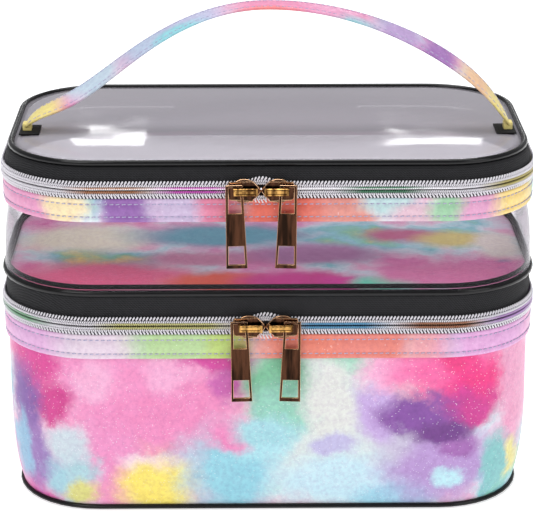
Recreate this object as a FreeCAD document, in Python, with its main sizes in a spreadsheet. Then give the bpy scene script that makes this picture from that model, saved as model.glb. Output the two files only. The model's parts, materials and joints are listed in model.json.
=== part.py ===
import FreeCAD, Part
import math
import os
import re
import Sketcher
from FreeCAD import Rotation, Vector

# Soft two-tier cosmetic case: a padded lower compartment, a clear upper compartment whose padded floor is the
# lid of the lower one, and a clear lid with a carrying strap. Each tier closes with a two-way zip.
# Frame: millimetres, +Z up, front of the case towards -Y, origin at the middle of the underside.

SIZES = [
    ("width", 240.0, "overall width over the lower zip"),
    ("depth", 140.0, "overall depth over the lower zip"),
    ("corner", 43.5, "plan radius of the corners at the lower zip"),
    ("base_inset", 6.0, "how far the foot of the lower wall stands in from the lower zip"),
    ("upper_inset", 1.5, "how far the upper zip stands in from the lower zip"),
    ("lid_inset", 4.4, "how far the lid piping stands in from the upper zip"),
    ("wall_foot", 2.4, "height of the lower wall's foot"),
    ("base_height", 75.1, "height of the lower band's lower edge"),
    ("band_height", 11.3, "width of the lower stitched band"),
    ("chain_height", 8.6, "width of the lower zip's two rows of teeth"),
    ("tape_height", 8.7, "width of the woven tape above the lower zip"),
    ("clear_height", 31.0, "height of clear wall seen between piping and upper band"),
    ("upper_band_height", 10.5, "width of the upper stitched band"),
    ("upper_chain_height", 8.1, "width of the upper zip's two rows of teeth"),
    ("lid_tape_height", 5.4, "rise of the woven tape below the lid piping"),
    ("row_gap", 1.0, "slot between the two rows of a zip, where a slider's web passes"),
    ("coil_size", 1.8, "thickness of a row of teeth"),
    ("tape_size", 0.7, "thickness of zip tape"),
    ("leather", 0.8, "thickness of coated fabric"),
    ("band_size", 1.1, "thickness of a folded stitched band"),
    ("lining_size", 0.5, "thickness of lining fabric"),
    ("sheet", 0.6, "thickness of clear sheet"),
    ("board", 2.0, "thickness of a stiffening board"),
    ("base_piping", 2.0, "diameter of the bottom piping"),
    ("deck_piping", 3.1, "diameter of the middle piping"),
    ("lid_piping", 2.7, "diameter of the lid piping"),
    ("lid_crown", 1.4, "rise of the lid's middle over its edge"),
    ("gap", 0.05, "clearance between sewn layers"),
    ("hinge_width", 90.0, "width of the sewn hinge strips at the back"),
    ("slider_length", 14.2, "length of a slider body"),
    ("slider_height", 10.6, "height of a slider's front plate"),
    ("lower_meeting", -1.5, "where the lower pair of sliders meet, from the middle"),
    ("upper_meeting", -3.4, "where the upper pair of sliders meet, from the middle"),
    ("pivot_reach", 11.5, "distance from a slider's tip to the leg that carries its pull"),
    ("bridge_height", 3.4, "width of a slider's bridge"),
    ("pull_length", 37.6, "overall length of a pull"),
    ("pull_top_width", 7.4, "width of a pull at its hung end"),
    ("pull_foot_width", 9.3, "width of a pull at its free end"),
    ("pull_size", 1.3, "thickness of a pull"),
    ("pull_tilt", 1.7, "lean of a hanging pull towards the middle, degrees"),
    ("handle_inset", 11.0, "how far the handle's ends stand in from the lower zip"),
    ("handle_rise", 56.0, "rise of the handle's top over its ends"),
    ("handle_width", 12.5, "width of the handle strap"),
    ("handle_layer", 0.8, "thickness of each of the handle's two layers"),
    ("handle_setback", 16.0, "how far in front of the middle the handle's ends are sewn"),
    ("handle_lean", 2.0, "lean of the handle towards the back, degrees"),
]
SIZE = {alias: value for alias, value, note in SIZES}

doc = FreeCAD.newDocument("cosmetic_case")
sheet = doc.addObject("Spreadsheet::Sheet", "Sizes")
for row, (alias, value, note) in enumerate(SIZES, start=1):
    sheet.set("A%d" % row, note)
    sheet.set("B%d" % row, str(value))
    sheet.setAlias("B%d" % row, alias)
doc.recompute()


def size(words):
    """Point every size name in an expression at the sheet."""
    return re.sub(r"(?<![\w.])[a-z]\w*", lambda found: on_sheet(found.group()), words)


def on_sheet(word):
    """Give a size name its place on the sheet, and leave any other word alone."""
    return "Sizes." + word if word in SIZE else word


# Half the distance between the handle's ends.
HALF_SPAN = "width / 2 - handle_inset"

# Heights of the seams, from the table up.
BAND_LOW = "base_height"
BAND_TOP = "base_height + band_height"
CHAIN_MIDDLE = BAND_TOP + " + chain_height / 2"
CHAIN_TOP = BAND_TOP + " + chain_height"
TAPE_TOP = CHAIN_TOP + " + tape_height"
DECK_SEAM = TAPE_TOP + " + deck_piping"
UPPER_BAND_LOW = DECK_SEAM + " + clear_height"
UPPER_BAND_TOP = UPPER_BAND_LOW + " + upper_band_height"
UPPER_CHAIN_MIDDLE = UPPER_BAND_TOP + " + upper_chain_height / 2"
UPPER_CHAIN_TOP = UPPER_BAND_TOP + " + upper_chain_height"
LID_TAPE_TOP = UPPER_CHAIN_TOP + " + lid_tape_height"
LID_EDGE = LID_TAPE_TOP + " + lid_piping / 2"

# Insets of the sewn layers, counted inwards from the widest outline.
COIL = "-0.3"
BAND = "0.2"
TAPE = "( -0.3 + coil_size + gap )"
WALL_TOP = TAPE + " + tape_size + gap"
UPPER_COIL = "upper_inset - 0.3"
UPPER_BAND = "upper_inset + 0.2"
UPPER_TAPE = "upper_inset + " + TAPE
UPPER_WALL_TOP = UPPER_TAPE + " + tape_size + gap"
LID_SEAM = "upper_inset + lid_inset"
LID_FIELD = LID_SEAM + " + lid_piping / 2 + 0.1"


def new_body(name):
    """Start a sub-part whose label names its file."""
    body = doc.addObject("PartDesign::Body", name)
    body.Label = name
    return body


def new_sketch(body, name, plane, offset="0"):
    """Add a sketch on one of the body's own planes, moved along its normal by an expression."""
    sketch = body.newObject("Sketcher::SketchObject", body.Name + "_" + name)
    support = [feature for feature in body.Origin.OriginFeatures if feature.Role == plane][0]
    sketch.AttachmentSupport = (support, [""])
    sketch.MapMode = "FlatFace"
    sketch.setExpression("AttachmentOffset.Base.z", offset)
    return sketch


def bind(sketch, kind, elements, start, name, expression):
    """Add a measured constraint and tie it to the sheet."""
    index = sketch.addConstraint(Sketcher.Constraint(kind, *elements, start))
    sketch.renameConstraint(index, name)
    sketch.setExpression("Constraints." + name, expression)


def add_outline(sketch, inset, name):
    """Draw the case's plan outline, a rectangle with round corners, stepped in by an inset."""
    half_x = SIZE["width"] / 2
    half_y = SIZE["depth"] / 2
    radius = SIZE["corner"]
    core_x = half_x - radius
    core_y = half_y - radius

    def corner(x, y, start):
        circle = Part.Circle(Vector(x, y, 0), Vector(0, 0, 1), radius)
        return Part.ArcOfCircle(circle, math.radians(start), math.radians(start + 90))

    first = sketch.GeometryCount
    sketch.addGeometry([
        Part.LineSegment(Vector(half_x, -core_y, 0), Vector(half_x, core_y, 0)),
        corner(core_x, core_y, 0),
        Part.LineSegment(Vector(core_x, half_y, 0), Vector(-core_x, half_y, 0)),
        corner(-core_x, core_y, 90),
        Part.LineSegment(Vector(-half_x, core_y, 0), Vector(-half_x, -core_y, 0)),
        corner(-core_x, -core_y, 180),
        Part.LineSegment(Vector(-core_x, -half_y, 0), Vector(core_x, -half_y, 0)),
        corner(core_x, -core_y, 270),
    ], False)
    right, top, left, bottom = first, first + 2, first + 4, first + 6
    arcs = [first + 1, first + 3, first + 5, first + 7]
    for step in range(8):
        sketch.addConstraint(Sketcher.Constraint("Tangent", first + step, 2, first + (step + 1) % 8, 1))
    for line in (right, left):
        sketch.addConstraint(Sketcher.Constraint("Vertical", line))
    for line in (top, bottom):
        sketch.addConstraint(Sketcher.Constraint("Horizontal", line))
    for arc in arcs[1:]:
        sketch.addConstraint(Sketcher.Constraint("Equal", arcs[0], arc))
    sketch.addConstraint(Sketcher.Constraint("Symmetric", arcs[0], 3, arcs[2], 3, -1, 1))
    step = " - ( " + inset + " )"
    bind(sketch, "Radius", (arcs[0],), radius, name + "_corner", size("corner" + step))
    bind(sketch, "DistanceX", (left, 1, right, 1), 2 * half_x, name + "_width", size("width" + step + " * 2"))
    bind(sketch, "DistanceY", (bottom, 1, top, 1), 2 * half_y, name + "_depth", size("depth" + step + " * 2"))


def add_polygon(sketch, points, name):
    """Draw a closed polygon; each corner is a pair of expressions measured from the sketch's origin."""
    first = sketch.GeometryCount
    corners = []
    for across, up in points:
        corners.append(Vector(sheet_value(across), sheet_value(up), 0))
    count = len(corners)
    for index in range(count):
        sketch.addGeometry(Part.LineSegment(corners[index], corners[(index + 1) % count]), False)
    for index in range(count):
        following = first + (index + 1) % count
        sketch.addConstraint(Sketcher.Constraint("Coincident", first + index, 2, following, 1))
    for index, (across, up) in enumerate(points):
        for kind, words, letter in (("DistanceX", across, "x"), ("DistanceY", up, "y")):
            label = "%s_%s%d" % (name, letter, index)
            bind(sketch, kind, (-1, 1, first + index, 1), sheet_value(words), label, size(words))


def sheet_value(words):
    """Work out an expression's present value, for the starting shape of a sketch."""
    holder = sheet.evalExpression(size(words))
    return float(getattr(holder, "Value", holder))


def pad(body, sketch, name, length, both_ways=False):
    """Extrude a sketch by an expression."""
    feature = body.newObject("PartDesign::Pad", body.Name + "_" + name)
    feature.Profile = sketch
    feature.setExpression("Length", size(length))
    if both_ways:
        feature.SideType = "Symmetric"
    return feature


def loft(body, kind, name, levels):
    """Loft through plan outlines given as (height, inset) pairs."""
    sketches = []
    for index, (level, inset) in enumerate(levels):
        sketch = new_sketch(body, "%s_%d" % (name, index), "XY_Plane", size(level))
        add_outline(sketch, inset, name)
        sketches.append(sketch)
    feature = body.newObject("PartDesign::" + kind, body.Name + "_" + name)
    feature.Profile = sketches[0]
    feature.Sections = sketches[1:]
    feature.Ruled = True
    return feature


def panel(name, low, height, inset):
    """A flat sheet in plan outline."""
    body = new_body(name)
    sketch = new_sketch(body, "plan", "XY_Plane", size(low))
    add_outline(sketch, inset, "edge")
    pad(body, sketch, "sheet", height)
    return body


def straight_ring(name, low, height, inset, thickness):
    """An upright band all the way round the case."""
    body = new_body(name)
    sketch = new_sketch(body, "plan", "XY_Plane", size(low))
    add_outline(sketch, inset, "outer")
    add_outline(sketch, inset + " + " + thickness, "inner")
    pad(body, sketch, "band", height)
    return body


def tapered_ring(name, levels, thickness):
    """A wall all the way round whose outline changes with height."""
    body = new_body(name)
    loft(body, "AdditiveLoft", "outer", levels)
    loft(body, "SubtractiveLoft", "inner", [(level, inset + " + " + thickness) for level, inset in levels])
    return body


def piping(name, centre, inset, diameter):
    """Corded edging swept round the plan outline."""
    body = new_body(name)
    path = new_sketch(body, "path", "XY_Plane", size(centre))
    add_outline(path, inset, "edge")
    profile = new_sketch(body, "profile", "YZ_Plane")
    across = "( " + inset + " ) - depth / 2"
    centre_point = Vector(sheet_value(across), sheet_value(centre), 0)
    profile.addGeometry(Part.Circle(centre_point, Vector(0, 0, 1), sheet_value(diameter) / 2), False)
    bind(profile, "DistanceX", (-1, 1, 0, 3), centre_point.x, "across", size(across))
    bind(profile, "DistanceY", (-1, 1, 0, 3), centre_point.y, "up", size(centre))
    bind(profile, "Radius", (0,), sheet_value(diameter) / 2, "radius", size(diameter + " / 2"))
    sweep = body.newObject("PartDesign::AdditivePipe", name + "_cord")
    sweep.Profile = profile
    sweep.Spine = (path, [])
    return body


def zip_row(name, low, chain, inset):
    """One row of teeth: a band open at the back, where the sewn hinge takes over."""
    body = straight_ring(name, low, chain + " / 2 - row_gap / 2 - gap", inset, "coil_size")
    sketch = new_sketch(body, "break", "XY_Plane")
    half = "hinge_width / 2 + 1"
    add_polygon(sketch, [("-( %s )" % half, "depth / 4"), (half, "depth / 4"),
                         (half, "depth"), ("-( %s )" % half, "depth")], "gap")
    cut = body.newObject("PartDesign::Pocket", name + "_back")
    cut.Profile = sketch
    cut.Type = "ThroughAll"
    cut.SideType = "Symmetric"
    return body


def leaf(name, low, high, inner):
    """Half of a sewn hinge strip, from the layer it is sewn on out to the strip's own face."""
    box = doc.addObject("Part::Box", name)
    box.Label = name
    box.setExpression("Length", size("hinge_width"))
    box.setExpression("Width", size("-( " + inner[1] + " ) + ( " + inner[0] + " )"))
    box.setExpression("Height", size("( " + high + " ) - ( " + low + " )"))
    box.setExpression("Placement.Base.x", size("-hinge_width / 2"))
    box.setExpression("Placement.Base.y", size("depth / 2 - ( " + inner[0] + " )"))
    box.setExpression("Placement.Base.z", size(low))
    return box


def place(body, across, depth, up, rotation=None):
    """Put a body at a point given by expressions."""
    if rotation is not None:
        body.Placement.Rotation = rotation
    body.setExpression("Placement.Base.x", size(across))
    body.setExpression("Placement.Base.y", size(depth))
    body.setExpression("Placement.Base.z", size(up))


def leaf_outline(half_height):
    """A slider plate: pointed at the tip, full at the shoulder, blunt at the tail."""
    upper = [
        ("slider_length * 0.28", half_height + " * 0.78"),
        ("slider_length * 0.42", half_height),
        ("slider_length * 0.58", half_height),
        ("slider_length * 0.76", half_height + " * 0.78"),
        ("slider_length", half_height + " * 0.74"),
    ]
    lower = [(across, "-( " + up + " )") for across, up in reversed(upper)]
    return [("0.05", "0")] + upper + lower


PLATE_CLEARANCE = "0.3"
PLATE_SIZE = "1.1"
TUNNEL = "2.0"
BRIDGE_SIZE = "0.9"


def slider(name, meeting, side, depth, up):
    """A slider body: front plate, back plate and the thin web that joins them between the rows of teeth."""
    body = new_body(name)
    front = new_sketch(body, "front", "XZ_Plane", PLATE_CLEARANCE)
    add_polygon(front, leaf_outline("slider_height / 2"), "plate")
    pad(body, front, "front_plate", PLATE_SIZE)
    web = new_sketch(body, "web", "XZ_Plane", size("-( coil_size + gap + tape_size + 0.4 )"))
    add_polygon(web, [("1.5", "-row_gap / 4"), ("slider_length - 1.5", "-row_gap / 4"),
                      ("slider_length - 1.5", "row_gap / 4"), ("1.5", "row_gap / 4")], "web")
    pad(body, web, "web_plate", "coil_size + gap + tape_size + 0.4 + " + PLATE_CLEARANCE + " + 0.1")
    back = new_sketch(body, "back", "XZ_Plane", size("-( coil_size + gap + tape_size + 1.3 )"))
    add_polygon(back, leaf_outline("( chain_height - 1 ) / 2"), "plate")
    pad(body, back, "back_plate", "1.0")
    turn_and_place(body, meeting, side, depth, up)
    return body


def bridge(name, meeting, side, depth, up):
    """The raised strap on a slider's front plate that carries its pull."""
    body = new_body(name)
    foot = "-( " + PLATE_CLEARANCE + " + " + PLATE_SIZE + " )"
    roof = foot + " - " + TUNNEL
    crown = roof + " - " + BRIDGE_SIZE
    leg_out = "pivot_reach + 0.45"
    leg_in = "pivot_reach - 0.45"
    outline = [
        ("1.3", foot), ("1.3", roof), ("2.3", crown), (leg_in, crown), (leg_out, roof), (leg_out, foot),
        (leg_in, foot), (leg_in, roof), ("2.3", roof), ("2.3", foot),
    ]
    sketch = new_sketch(body, "side", "XY_Plane")
    add_polygon(sketch, outline, "strap")
    pad(body, sketch, "strap_bar", "bridge_height", both_ways=True)
    turn_and_place(body, meeting, side, depth, up)
    return body


def turn_and_place(body, meeting, side, depth, up):
    """Put a slider piece with its tip at the meeting point, its tail towards the given side."""
    turn = Rotation(Vector(0, 1, 0), 0 if side > 0 else 180)
    place(body, meeting + (" + 0.05" if side > 0 else " - 0.05"), depth, up, turn)


def pull(name, meeting, side, depth, up):
    """A flat pull with two windows; the upper one hangs on the outer leg of the bridge."""
    body = new_body(name)
    sketch = new_sketch(body, "face", "XZ_Plane", PLATE_CLEARANCE + " + " + PLATE_SIZE + " + 0.35")
    top = "3.0"
    foot = "3.0 - pull_length"
    half_top = "pull_top_width / 2"
    half_foot = "pull_foot_width / 2"
    add_polygon(sketch, mirrored(half_top, top, half_foot, foot), "rim")
    add_polygon(sketch, mirrored("pull_top_width / 2 - 1.35", "1.95",
                                 "pull_top_width / 2 - 1.2", "3.0 - pull_length * 0.335"), "upper")
    add_polygon(sketch, mirrored("pull_foot_width / 2 - 1.1", "3.0 - pull_length * 0.73",
                                 "pull_foot_width / 2 - 1.0", "3.0 - pull_length + 1.8"), "lower")
    pad(body, sketch, "plate", "pull_size")
    across = meeting + (" + " if side > 0 else " - ") + "( pivot_reach + 0.05 )"
    place(body, across, depth, up)
    body.Placement.Rotation = Rotation(Vector(0, side, 0), SIZE["pull_tilt"])
    return body


def mirrored(half_top, top, half_foot, foot):
    """Four corners of an upright trapezoid, symmetric about its own middle."""
    return [("-( %s )" % half_top, top), ("-( %s )" % half_foot, foot), (half_foot, foot), (half_top, top)]


def strap_layer(name, depth_in):
    """One layer of the carrying strap: a long arc standing on its two ends."""
    body = new_body(name)
    span = SIZE["width"] / 2 - SIZE["handle_inset"]
    rise = SIZE["handle_rise"]
    radius = (span ** 2 + rise ** 2) / (2 * rise)
    outer = radius - depth_in * SIZE["handle_layer"]
    inner = outer - SIZE["handle_layer"]
    centre = Vector(0, rise - radius, 0)
    half_angle = math.asin(span / radius)
    sketch = new_sketch(body, "arch", "XZ_Plane")
    start = math.pi / 2 - half_angle
    end = math.pi / 2 + half_angle
    for arc_radius in (outer, inner):
        circle = Part.Circle(centre, Vector(0, 0, 1), arc_radius)
        sketch.addGeometry(Part.ArcOfCircle(circle, start, end), False)
    sketch.addGeometry(Part.LineSegment(sketch.Geometry[0].StartPoint, sketch.Geometry[1].StartPoint), False)
    sketch.addGeometry(Part.LineSegment(sketch.Geometry[0].EndPoint, sketch.Geometry[1].EndPoint), False)
    for ends in ((0, 1, 2, 1), (1, 1, 2, 2), (0, 2, 3, 1), (1, 2, 3, 2), (0, 3, 1, 3)):
        sketch.addConstraint(Sketcher.Constraint("Coincident", *ends))
    sketch.addConstraint(Sketcher.Constraint("PointOnObject", 0, 3, -2))
    sketch.addConstraint(Sketcher.Constraint("Symmetric", 0, 1, 0, 2, -2))
    sketch.addConstraint(Sketcher.Constraint("PointOnObject", 0, 3, 2))
    sketch.addConstraint(Sketcher.Constraint("PointOnObject", 0, 3, 3))
    whole = "( ( " + HALF_SPAN + " ) ^ 2 + handle_rise ^ 2 ) / ( 2 * handle_rise )"
    layer = " - %d * handle_layer" % depth_in
    bind(sketch, "Radius", (0,), outer, "outer", size(whole + layer))
    bind(sketch, "Radius", (1,), inner, "inner", size(whole + layer + " - handle_layer"))
    bind(sketch, "DistanceY", (-1, 1, 0, 3), centre.y, "centre", size("handle_rise - " + whole))
    reach = 2 * outer * math.sin(half_angle)
    share = "2 * ( %s ) * ( 1 - %d * handle_layer / ( %s ) )" % (HALF_SPAN, depth_in, whole)
    bind(sketch, "DistanceX", (0, 2, 0, 1), reach, "reach", size(share))
    pad(body, sketch, "layer", "handle_width", both_ways=True)
    round_strap_ends(body)
    place(body, "0", "-handle_setback", LID_EDGE + " + lid_piping / 2 + 2.4")
    body.Placement.Rotation = Rotation(Vector(1, 0, 0), -SIZE["handle_lean"])
    return body


def round_strap_ends(body):
    """Round the corners of both ends, so that the strap can lean without digging into the lid."""
    doc.recompute()
    strap = body.Tip
    names = []
    for index, edge in enumerate(strap.Shape.Edges, start=1):
        beyond = abs(edge.CenterOfMass.x) > 0.95 * (SIZE["width"] / 2 - SIZE["handle_inset"])
        if beyond and edge.Length < 2 * SIZE["handle_layer"]:
            names.append("Edge%d" % index)
    feature = body.newObject("PartDesign::Fillet", body.Name + "_ends")
    feature.Base = (strap, names)
    feature.setExpression("Radius", size("handle_width * 0.43"))


def anchor(name, side):
    """The doubled patch that holds one end of the strap on the lid."""
    box = doc.addObject("Part::Box", name)
    box.Label = name
    box.Length = 9.0
    box.Height = 0.65
    box.setExpression("Width", size("handle_width + 3"))
    reach = HALF_SPAN + " - 7" if side > 0 else "-( " + HALF_SPAN + " + 2 )"
    box.setExpression("Placement.Base.x", size(reach))
    box.setExpression("Placement.Base.y", size("-( handle_setback + handle_width / 2 + 1.5 )"))
    box.setExpression("Placement.Base.z", size(LID_EDGE + " + 0.95"))
    return box


def build_lower_tier():
    """The padded compartment that stands on the table."""
    foot_inset = "base_inset"
    wall_low = ("wall_foot", foot_inset)
    wall_high = (BAND_TOP, WALL_TOP)
    tapered_ring("lower_side_wall", [wall_low, wall_high], "leather")
    lining = "leather + gap"
    tapered_ring("lower_wall_lining", [("wall_foot + board", "base_inset + " + lining),
                                       (BAND_TOP, WALL_TOP + " + " + lining)], "lining_size")
    panel("bottom_panel", "0", "1.0", "base_inset + 0.9")
    panel("bottom_board", "1.0 + gap", "board", "base_inset + 1.5")
    panel("bottom_lining", "1.0 + gap * 2 + board", "lining_size", "base_inset + 1.5")
    piping("bottom_piping", "0.3 + base_piping / 2", "base_inset - 0.5", "base_piping")
    straight_ring("lower_inner_binding", "1.0 + gap * 3 + board + lining_size", "4", "base_inset + 1.5", "1.2")
    straight_ring("lower_zip_band", BAND_LOW, "band_height", BAND, "band_size")
    straight_ring("lower_zip_case_tape", BAND_LOW + " + 2",
                  "band_height - 2 + chain_height / 2 - row_gap / 2 - gap", TAPE, "tape_size")
    zip_row("lower_zip_case_teeth", BAND_TOP + " + gap", "chain_height", COIL)
    leaf("lower_hinge_case_leaf", BAND_LOW + " + 2", CHAIN_MIDDLE + " - 0.4", (BAND + " - gap", "-0.55"))


def build_deck():
    """The middle body: lid of the lower tier, floor and clear walls of the upper one."""
    row_low = CHAIN_MIDDLE + " + row_gap / 2"
    zip_row("lower_zip_deck_teeth", row_low, "chain_height", COIL)
    straight_ring("deck_tape", row_low, "chain_height / 2 - row_gap / 2 + tape_height - gap", TAPE, "tape_size")
    leaf("lower_hinge_deck_leaf", CHAIN_MIDDLE + " + 0.4", TAPE_TOP + " - 0.2", (TAPE + " - gap", "-0.55"))
    piping("deck_piping", TAPE_TOP + " + deck_piping / 2", "1.6", "deck_piping")
    deck_inset = "1.6 + deck_piping / 2 + 0.1"
    middle = TAPE_TOP + " + deck_piping / 2"
    panel("deck_panel", middle + " - 0.6", "1.0", deck_inset)
    panel("deck_board", middle + " - 0.6 - gap - board", "board", deck_inset)
    panel("deck_lining", middle + " - 0.6 - gap * 2 - board - lining_size", "lining_size", deck_inset)
    wall_inset = "1.25"
    tapered_ring("upper_clear_wall", [(DECK_SEAM + " + gap", wall_inset), (UPPER_BAND_LOW, UPPER_WALL_TOP),
                                      (UPPER_BAND_TOP, UPPER_WALL_TOP)], "sheet")
    straight_ring("deck_inner_binding", DECK_SEAM + " + gap", "2.2", "1.25 + sheet + 0.3", "1.2")
    straight_ring("upper_zip_band", UPPER_BAND_LOW, "upper_band_height", UPPER_BAND, "band_size")
    straight_ring("upper_zip_deck_tape", UPPER_BAND_LOW + " + 2",
                  "upper_band_height - 2 + upper_chain_height / 2 - row_gap / 2 - gap", UPPER_TAPE, "tape_size")
    zip_row("upper_zip_deck_teeth", UPPER_BAND_TOP + " + gap", "upper_chain_height", UPPER_COIL)
    leaf("upper_hinge_deck_leaf", UPPER_BAND_LOW + " + 2", UPPER_CHAIN_MIDDLE + " - 0.4",
         (UPPER_BAND + " - gap", "upper_inset - 0.55"))


def build_lid():
    """The clear lid with its tape, edging and strap anchors."""
    row_low = UPPER_CHAIN_MIDDLE + " + row_gap / 2"
    zip_row("upper_zip_lid_teeth", row_low, "upper_chain_height", UPPER_COIL)
    tapered_ring("lid_tape", [(row_low, UPPER_TAPE), (UPPER_CHAIN_TOP, UPPER_TAPE),
                              (LID_TAPE_TOP + " - gap", LID_SEAM + " - 0.9")], "tape_size")
    leaf("upper_hinge_lid_leaf", UPPER_CHAIN_MIDDLE + " + 0.4", UPPER_CHAIN_TOP,
         (UPPER_TAPE + " - gap", "upper_inset - 0.55"))
    piping("lid_piping", LID_EDGE, LID_SEAM, "lid_piping")
    body = new_body("lid_clear_panel")
    middle = LID_FIELD + " + corner * 0.69"
    edge_low = LID_EDGE + " - sheet / 2"
    edge_high = LID_EDGE + " + sheet / 2"
    loft(body, "AdditiveLoft", "top", [(edge_low, LID_FIELD), (edge_high, LID_FIELD),
                                       (edge_high + " + lid_crown", middle)])
    loft(body, "SubtractiveLoft", "under", [(edge_low, LID_FIELD + " + 1"), (edge_low + " + lid_crown", middle)])
    straight_ring("lid_inner_binding", LID_TAPE_TOP + " - 1.5", "1.5 - gap", LID_SEAM + " + 0.2", "1.5")
    anchor("handle_left_anchor", -1)
    anchor("handle_right_anchor", 1)


def build_handle():
    """The two sewn layers of the carrying strap."""
    strap_layer("handle_outer_layer", 0)
    strap_layer("handle_inner_layer", 1)


def build_sliders():
    """Two sliders on each zip, tips together, each with its bridge and its pull."""
    tiers = (
        ("lower", "lower_meeting", "-( depth / 2 + 0.3 )", CHAIN_MIDDLE),
        ("upper", "upper_meeting", "-( depth / 2 + 0.3 ) + upper_inset", UPPER_CHAIN_MIDDLE),
    )
    for tier, meeting, depth, up in tiers:
        for hand, side in (("left", -1), ("right", 1)):
            name = "%s_%s_" % (tier, hand)
            slider(name + "slider", meeting, side, depth, up)
            bridge(name + "slider_bridge", meeting, side, depth, up)
            pull(name + "pull", meeting, side, depth, up)


build_lower_tier()
build_deck()
build_lid()
build_handle()
build_sliders()
doc.recompute()

for item in doc.Objects:
    if "Invalid" in item.State or "Error" in item.State:
        raise RuntimeError("feature did not build: " + item.Name)

os.makedirs("parts", exist_ok=True)
for item in doc.Objects:
    if item.TypeId not in ("PartDesign::Body", "Part::Box"):
        continue
    if item.Shape.isNull() or not item.Shape.isValid():
        raise RuntimeError("sub-part has no sound shape: " + item.Label)
    item.Shape.exportStep("parts/" + item.Label + ".step")
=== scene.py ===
import json
import math

import bmesh
import bpy
from mathutils import Matrix, Vector, noise


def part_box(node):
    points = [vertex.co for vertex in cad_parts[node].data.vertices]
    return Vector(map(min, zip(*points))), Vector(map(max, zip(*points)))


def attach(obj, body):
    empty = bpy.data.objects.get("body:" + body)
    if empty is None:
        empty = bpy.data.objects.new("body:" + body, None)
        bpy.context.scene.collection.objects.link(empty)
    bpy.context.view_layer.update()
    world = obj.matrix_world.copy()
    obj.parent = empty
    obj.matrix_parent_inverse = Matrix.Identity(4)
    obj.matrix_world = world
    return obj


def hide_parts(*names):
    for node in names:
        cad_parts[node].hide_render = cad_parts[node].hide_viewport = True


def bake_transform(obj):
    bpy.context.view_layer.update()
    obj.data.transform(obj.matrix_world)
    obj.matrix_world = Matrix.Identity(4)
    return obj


bl_info = {
    "name": "Two-tier make-up case",
    "version": (1, 0, 0),
    "blender": (4, 5, 0),
    "location": "3D View > Sidebar > Make-up case",
    "description": "Builds a soft two-tier make-up case in tie-dye coated fabric and clear sheet",
    "category": "Add Mesh",
}

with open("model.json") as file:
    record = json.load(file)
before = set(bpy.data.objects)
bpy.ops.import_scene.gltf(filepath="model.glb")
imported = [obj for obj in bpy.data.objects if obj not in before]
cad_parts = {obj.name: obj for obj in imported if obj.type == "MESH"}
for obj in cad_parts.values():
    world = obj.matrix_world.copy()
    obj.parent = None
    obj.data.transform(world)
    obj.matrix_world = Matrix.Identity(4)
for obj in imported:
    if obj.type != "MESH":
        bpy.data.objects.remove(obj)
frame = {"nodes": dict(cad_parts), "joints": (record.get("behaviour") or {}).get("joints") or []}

MM = 0.001


def size_of(node):
    """Lowest corner, highest corner of a frame node, in metres."""
    low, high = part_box(node)
    return Vector(low), Vector(high)


def joint_of(below, above):
    """Height at which two rows of zip teeth meet."""
    return (size_of(below)[1].z + size_of(above)[0].z) / 2


def inset_of(node):
    """How far a node's outer face stands in from the widest outline."""
    return OUTLINE_X - size_of(node)[1].x


# The widest outline is the lower zip's; every seam is given as an inset from it, in metres.
LOWER_BAND_INSET = 0.2 * MM
LOWER_TAPE_INSET = 1.55 * MM
LOWER_TEETH_INSET = -0.3 * MM
LOWER_WALL_INSET = 2.35 * MM
UPPER_BAND_INSET = 1.7 * MM
UPPER_TAPE_INSET = 3.05 * MM
UPPER_TEETH_INSET = 1.2 * MM
CLEAR_WALL_INSET = 1.25 * MM
DECK_EDGING_INSET = 1.6 * MM
DECK_FLOOR_INSET = 3.4 * MM
LID_EDGING_INSET = 5.9 * MM
LID_SHEET_INSET = 7.45 * MM
OUTLINE_X = size_of("lower_zip_band")[1].x + LOWER_BAND_INSET
OUTLINE_Y = size_of("lower_zip_band")[1].y + LOWER_BAND_INSET
OUTLINE_CORNER = 43.5 * MM
CORE_X = OUTLINE_X - OUTLINE_CORNER
CORE_Y = OUTLINE_Y - OUTLINE_CORNER

WALL_FOOT = size_of("lower_side_wall")[0].z
LOWER_BAND_LOW, LOWER_BAND_TOP = (corner.z for corner in size_of("lower_zip_band"))
LOWER_JOINT = joint_of("lower_zip_case_teeth", "lower_zip_deck_teeth")
UPPER_BAND_LOW = size_of("upper_zip_band")[0].z
UPPER_JOINT = joint_of("upper_zip_deck_teeth", "upper_zip_lid_teeth")
UPPER_CHAIN_TOP = size_of("upper_zip_lid_teeth")[1].z

# Where each joint turns, by its name; a joint without a place of its own is left out.
PIVOTS = {joint["name"]: Vector(joint["pos_m"]) for joint in frame["joints"] if "pos_m" in joint}

# The strap is an even arch that leans back a little; it sags and twists away from that.
STRAP_LEAN = math.radians(2)
STRAP_RISE = 56 * MM
STRAP_HALF_WIDTH = 6.2 * MM
STRAP_THICKNESS = 1.6 * MM
STRAP_ACROSS = Vector((0, math.cos(STRAP_LEAN), -math.sin(STRAP_LEAN)))

STITCH_THICKNESS = 0.42 * MM
STITCH_SHARE = 0.66


def colour_property(name, description, value):
    """A colour a user may change, shown as a swatch."""
    return bpy.props.FloatVectorProperty(name=name, description=description, subtype="COLOR", size=3,
                                         min=0.0, max=1.0, default=linear(value))


def linear(value):
    """An sRGB hex colour as linear red, green and blue."""
    channels = [int(value[index:index + 2], 16) / 255 for index in (1, 3, 5)]
    return tuple(c / 12.92 if c <= 0.04045 else ((c + 0.055) / 1.055) ** 2.4 for c in channels)


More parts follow.
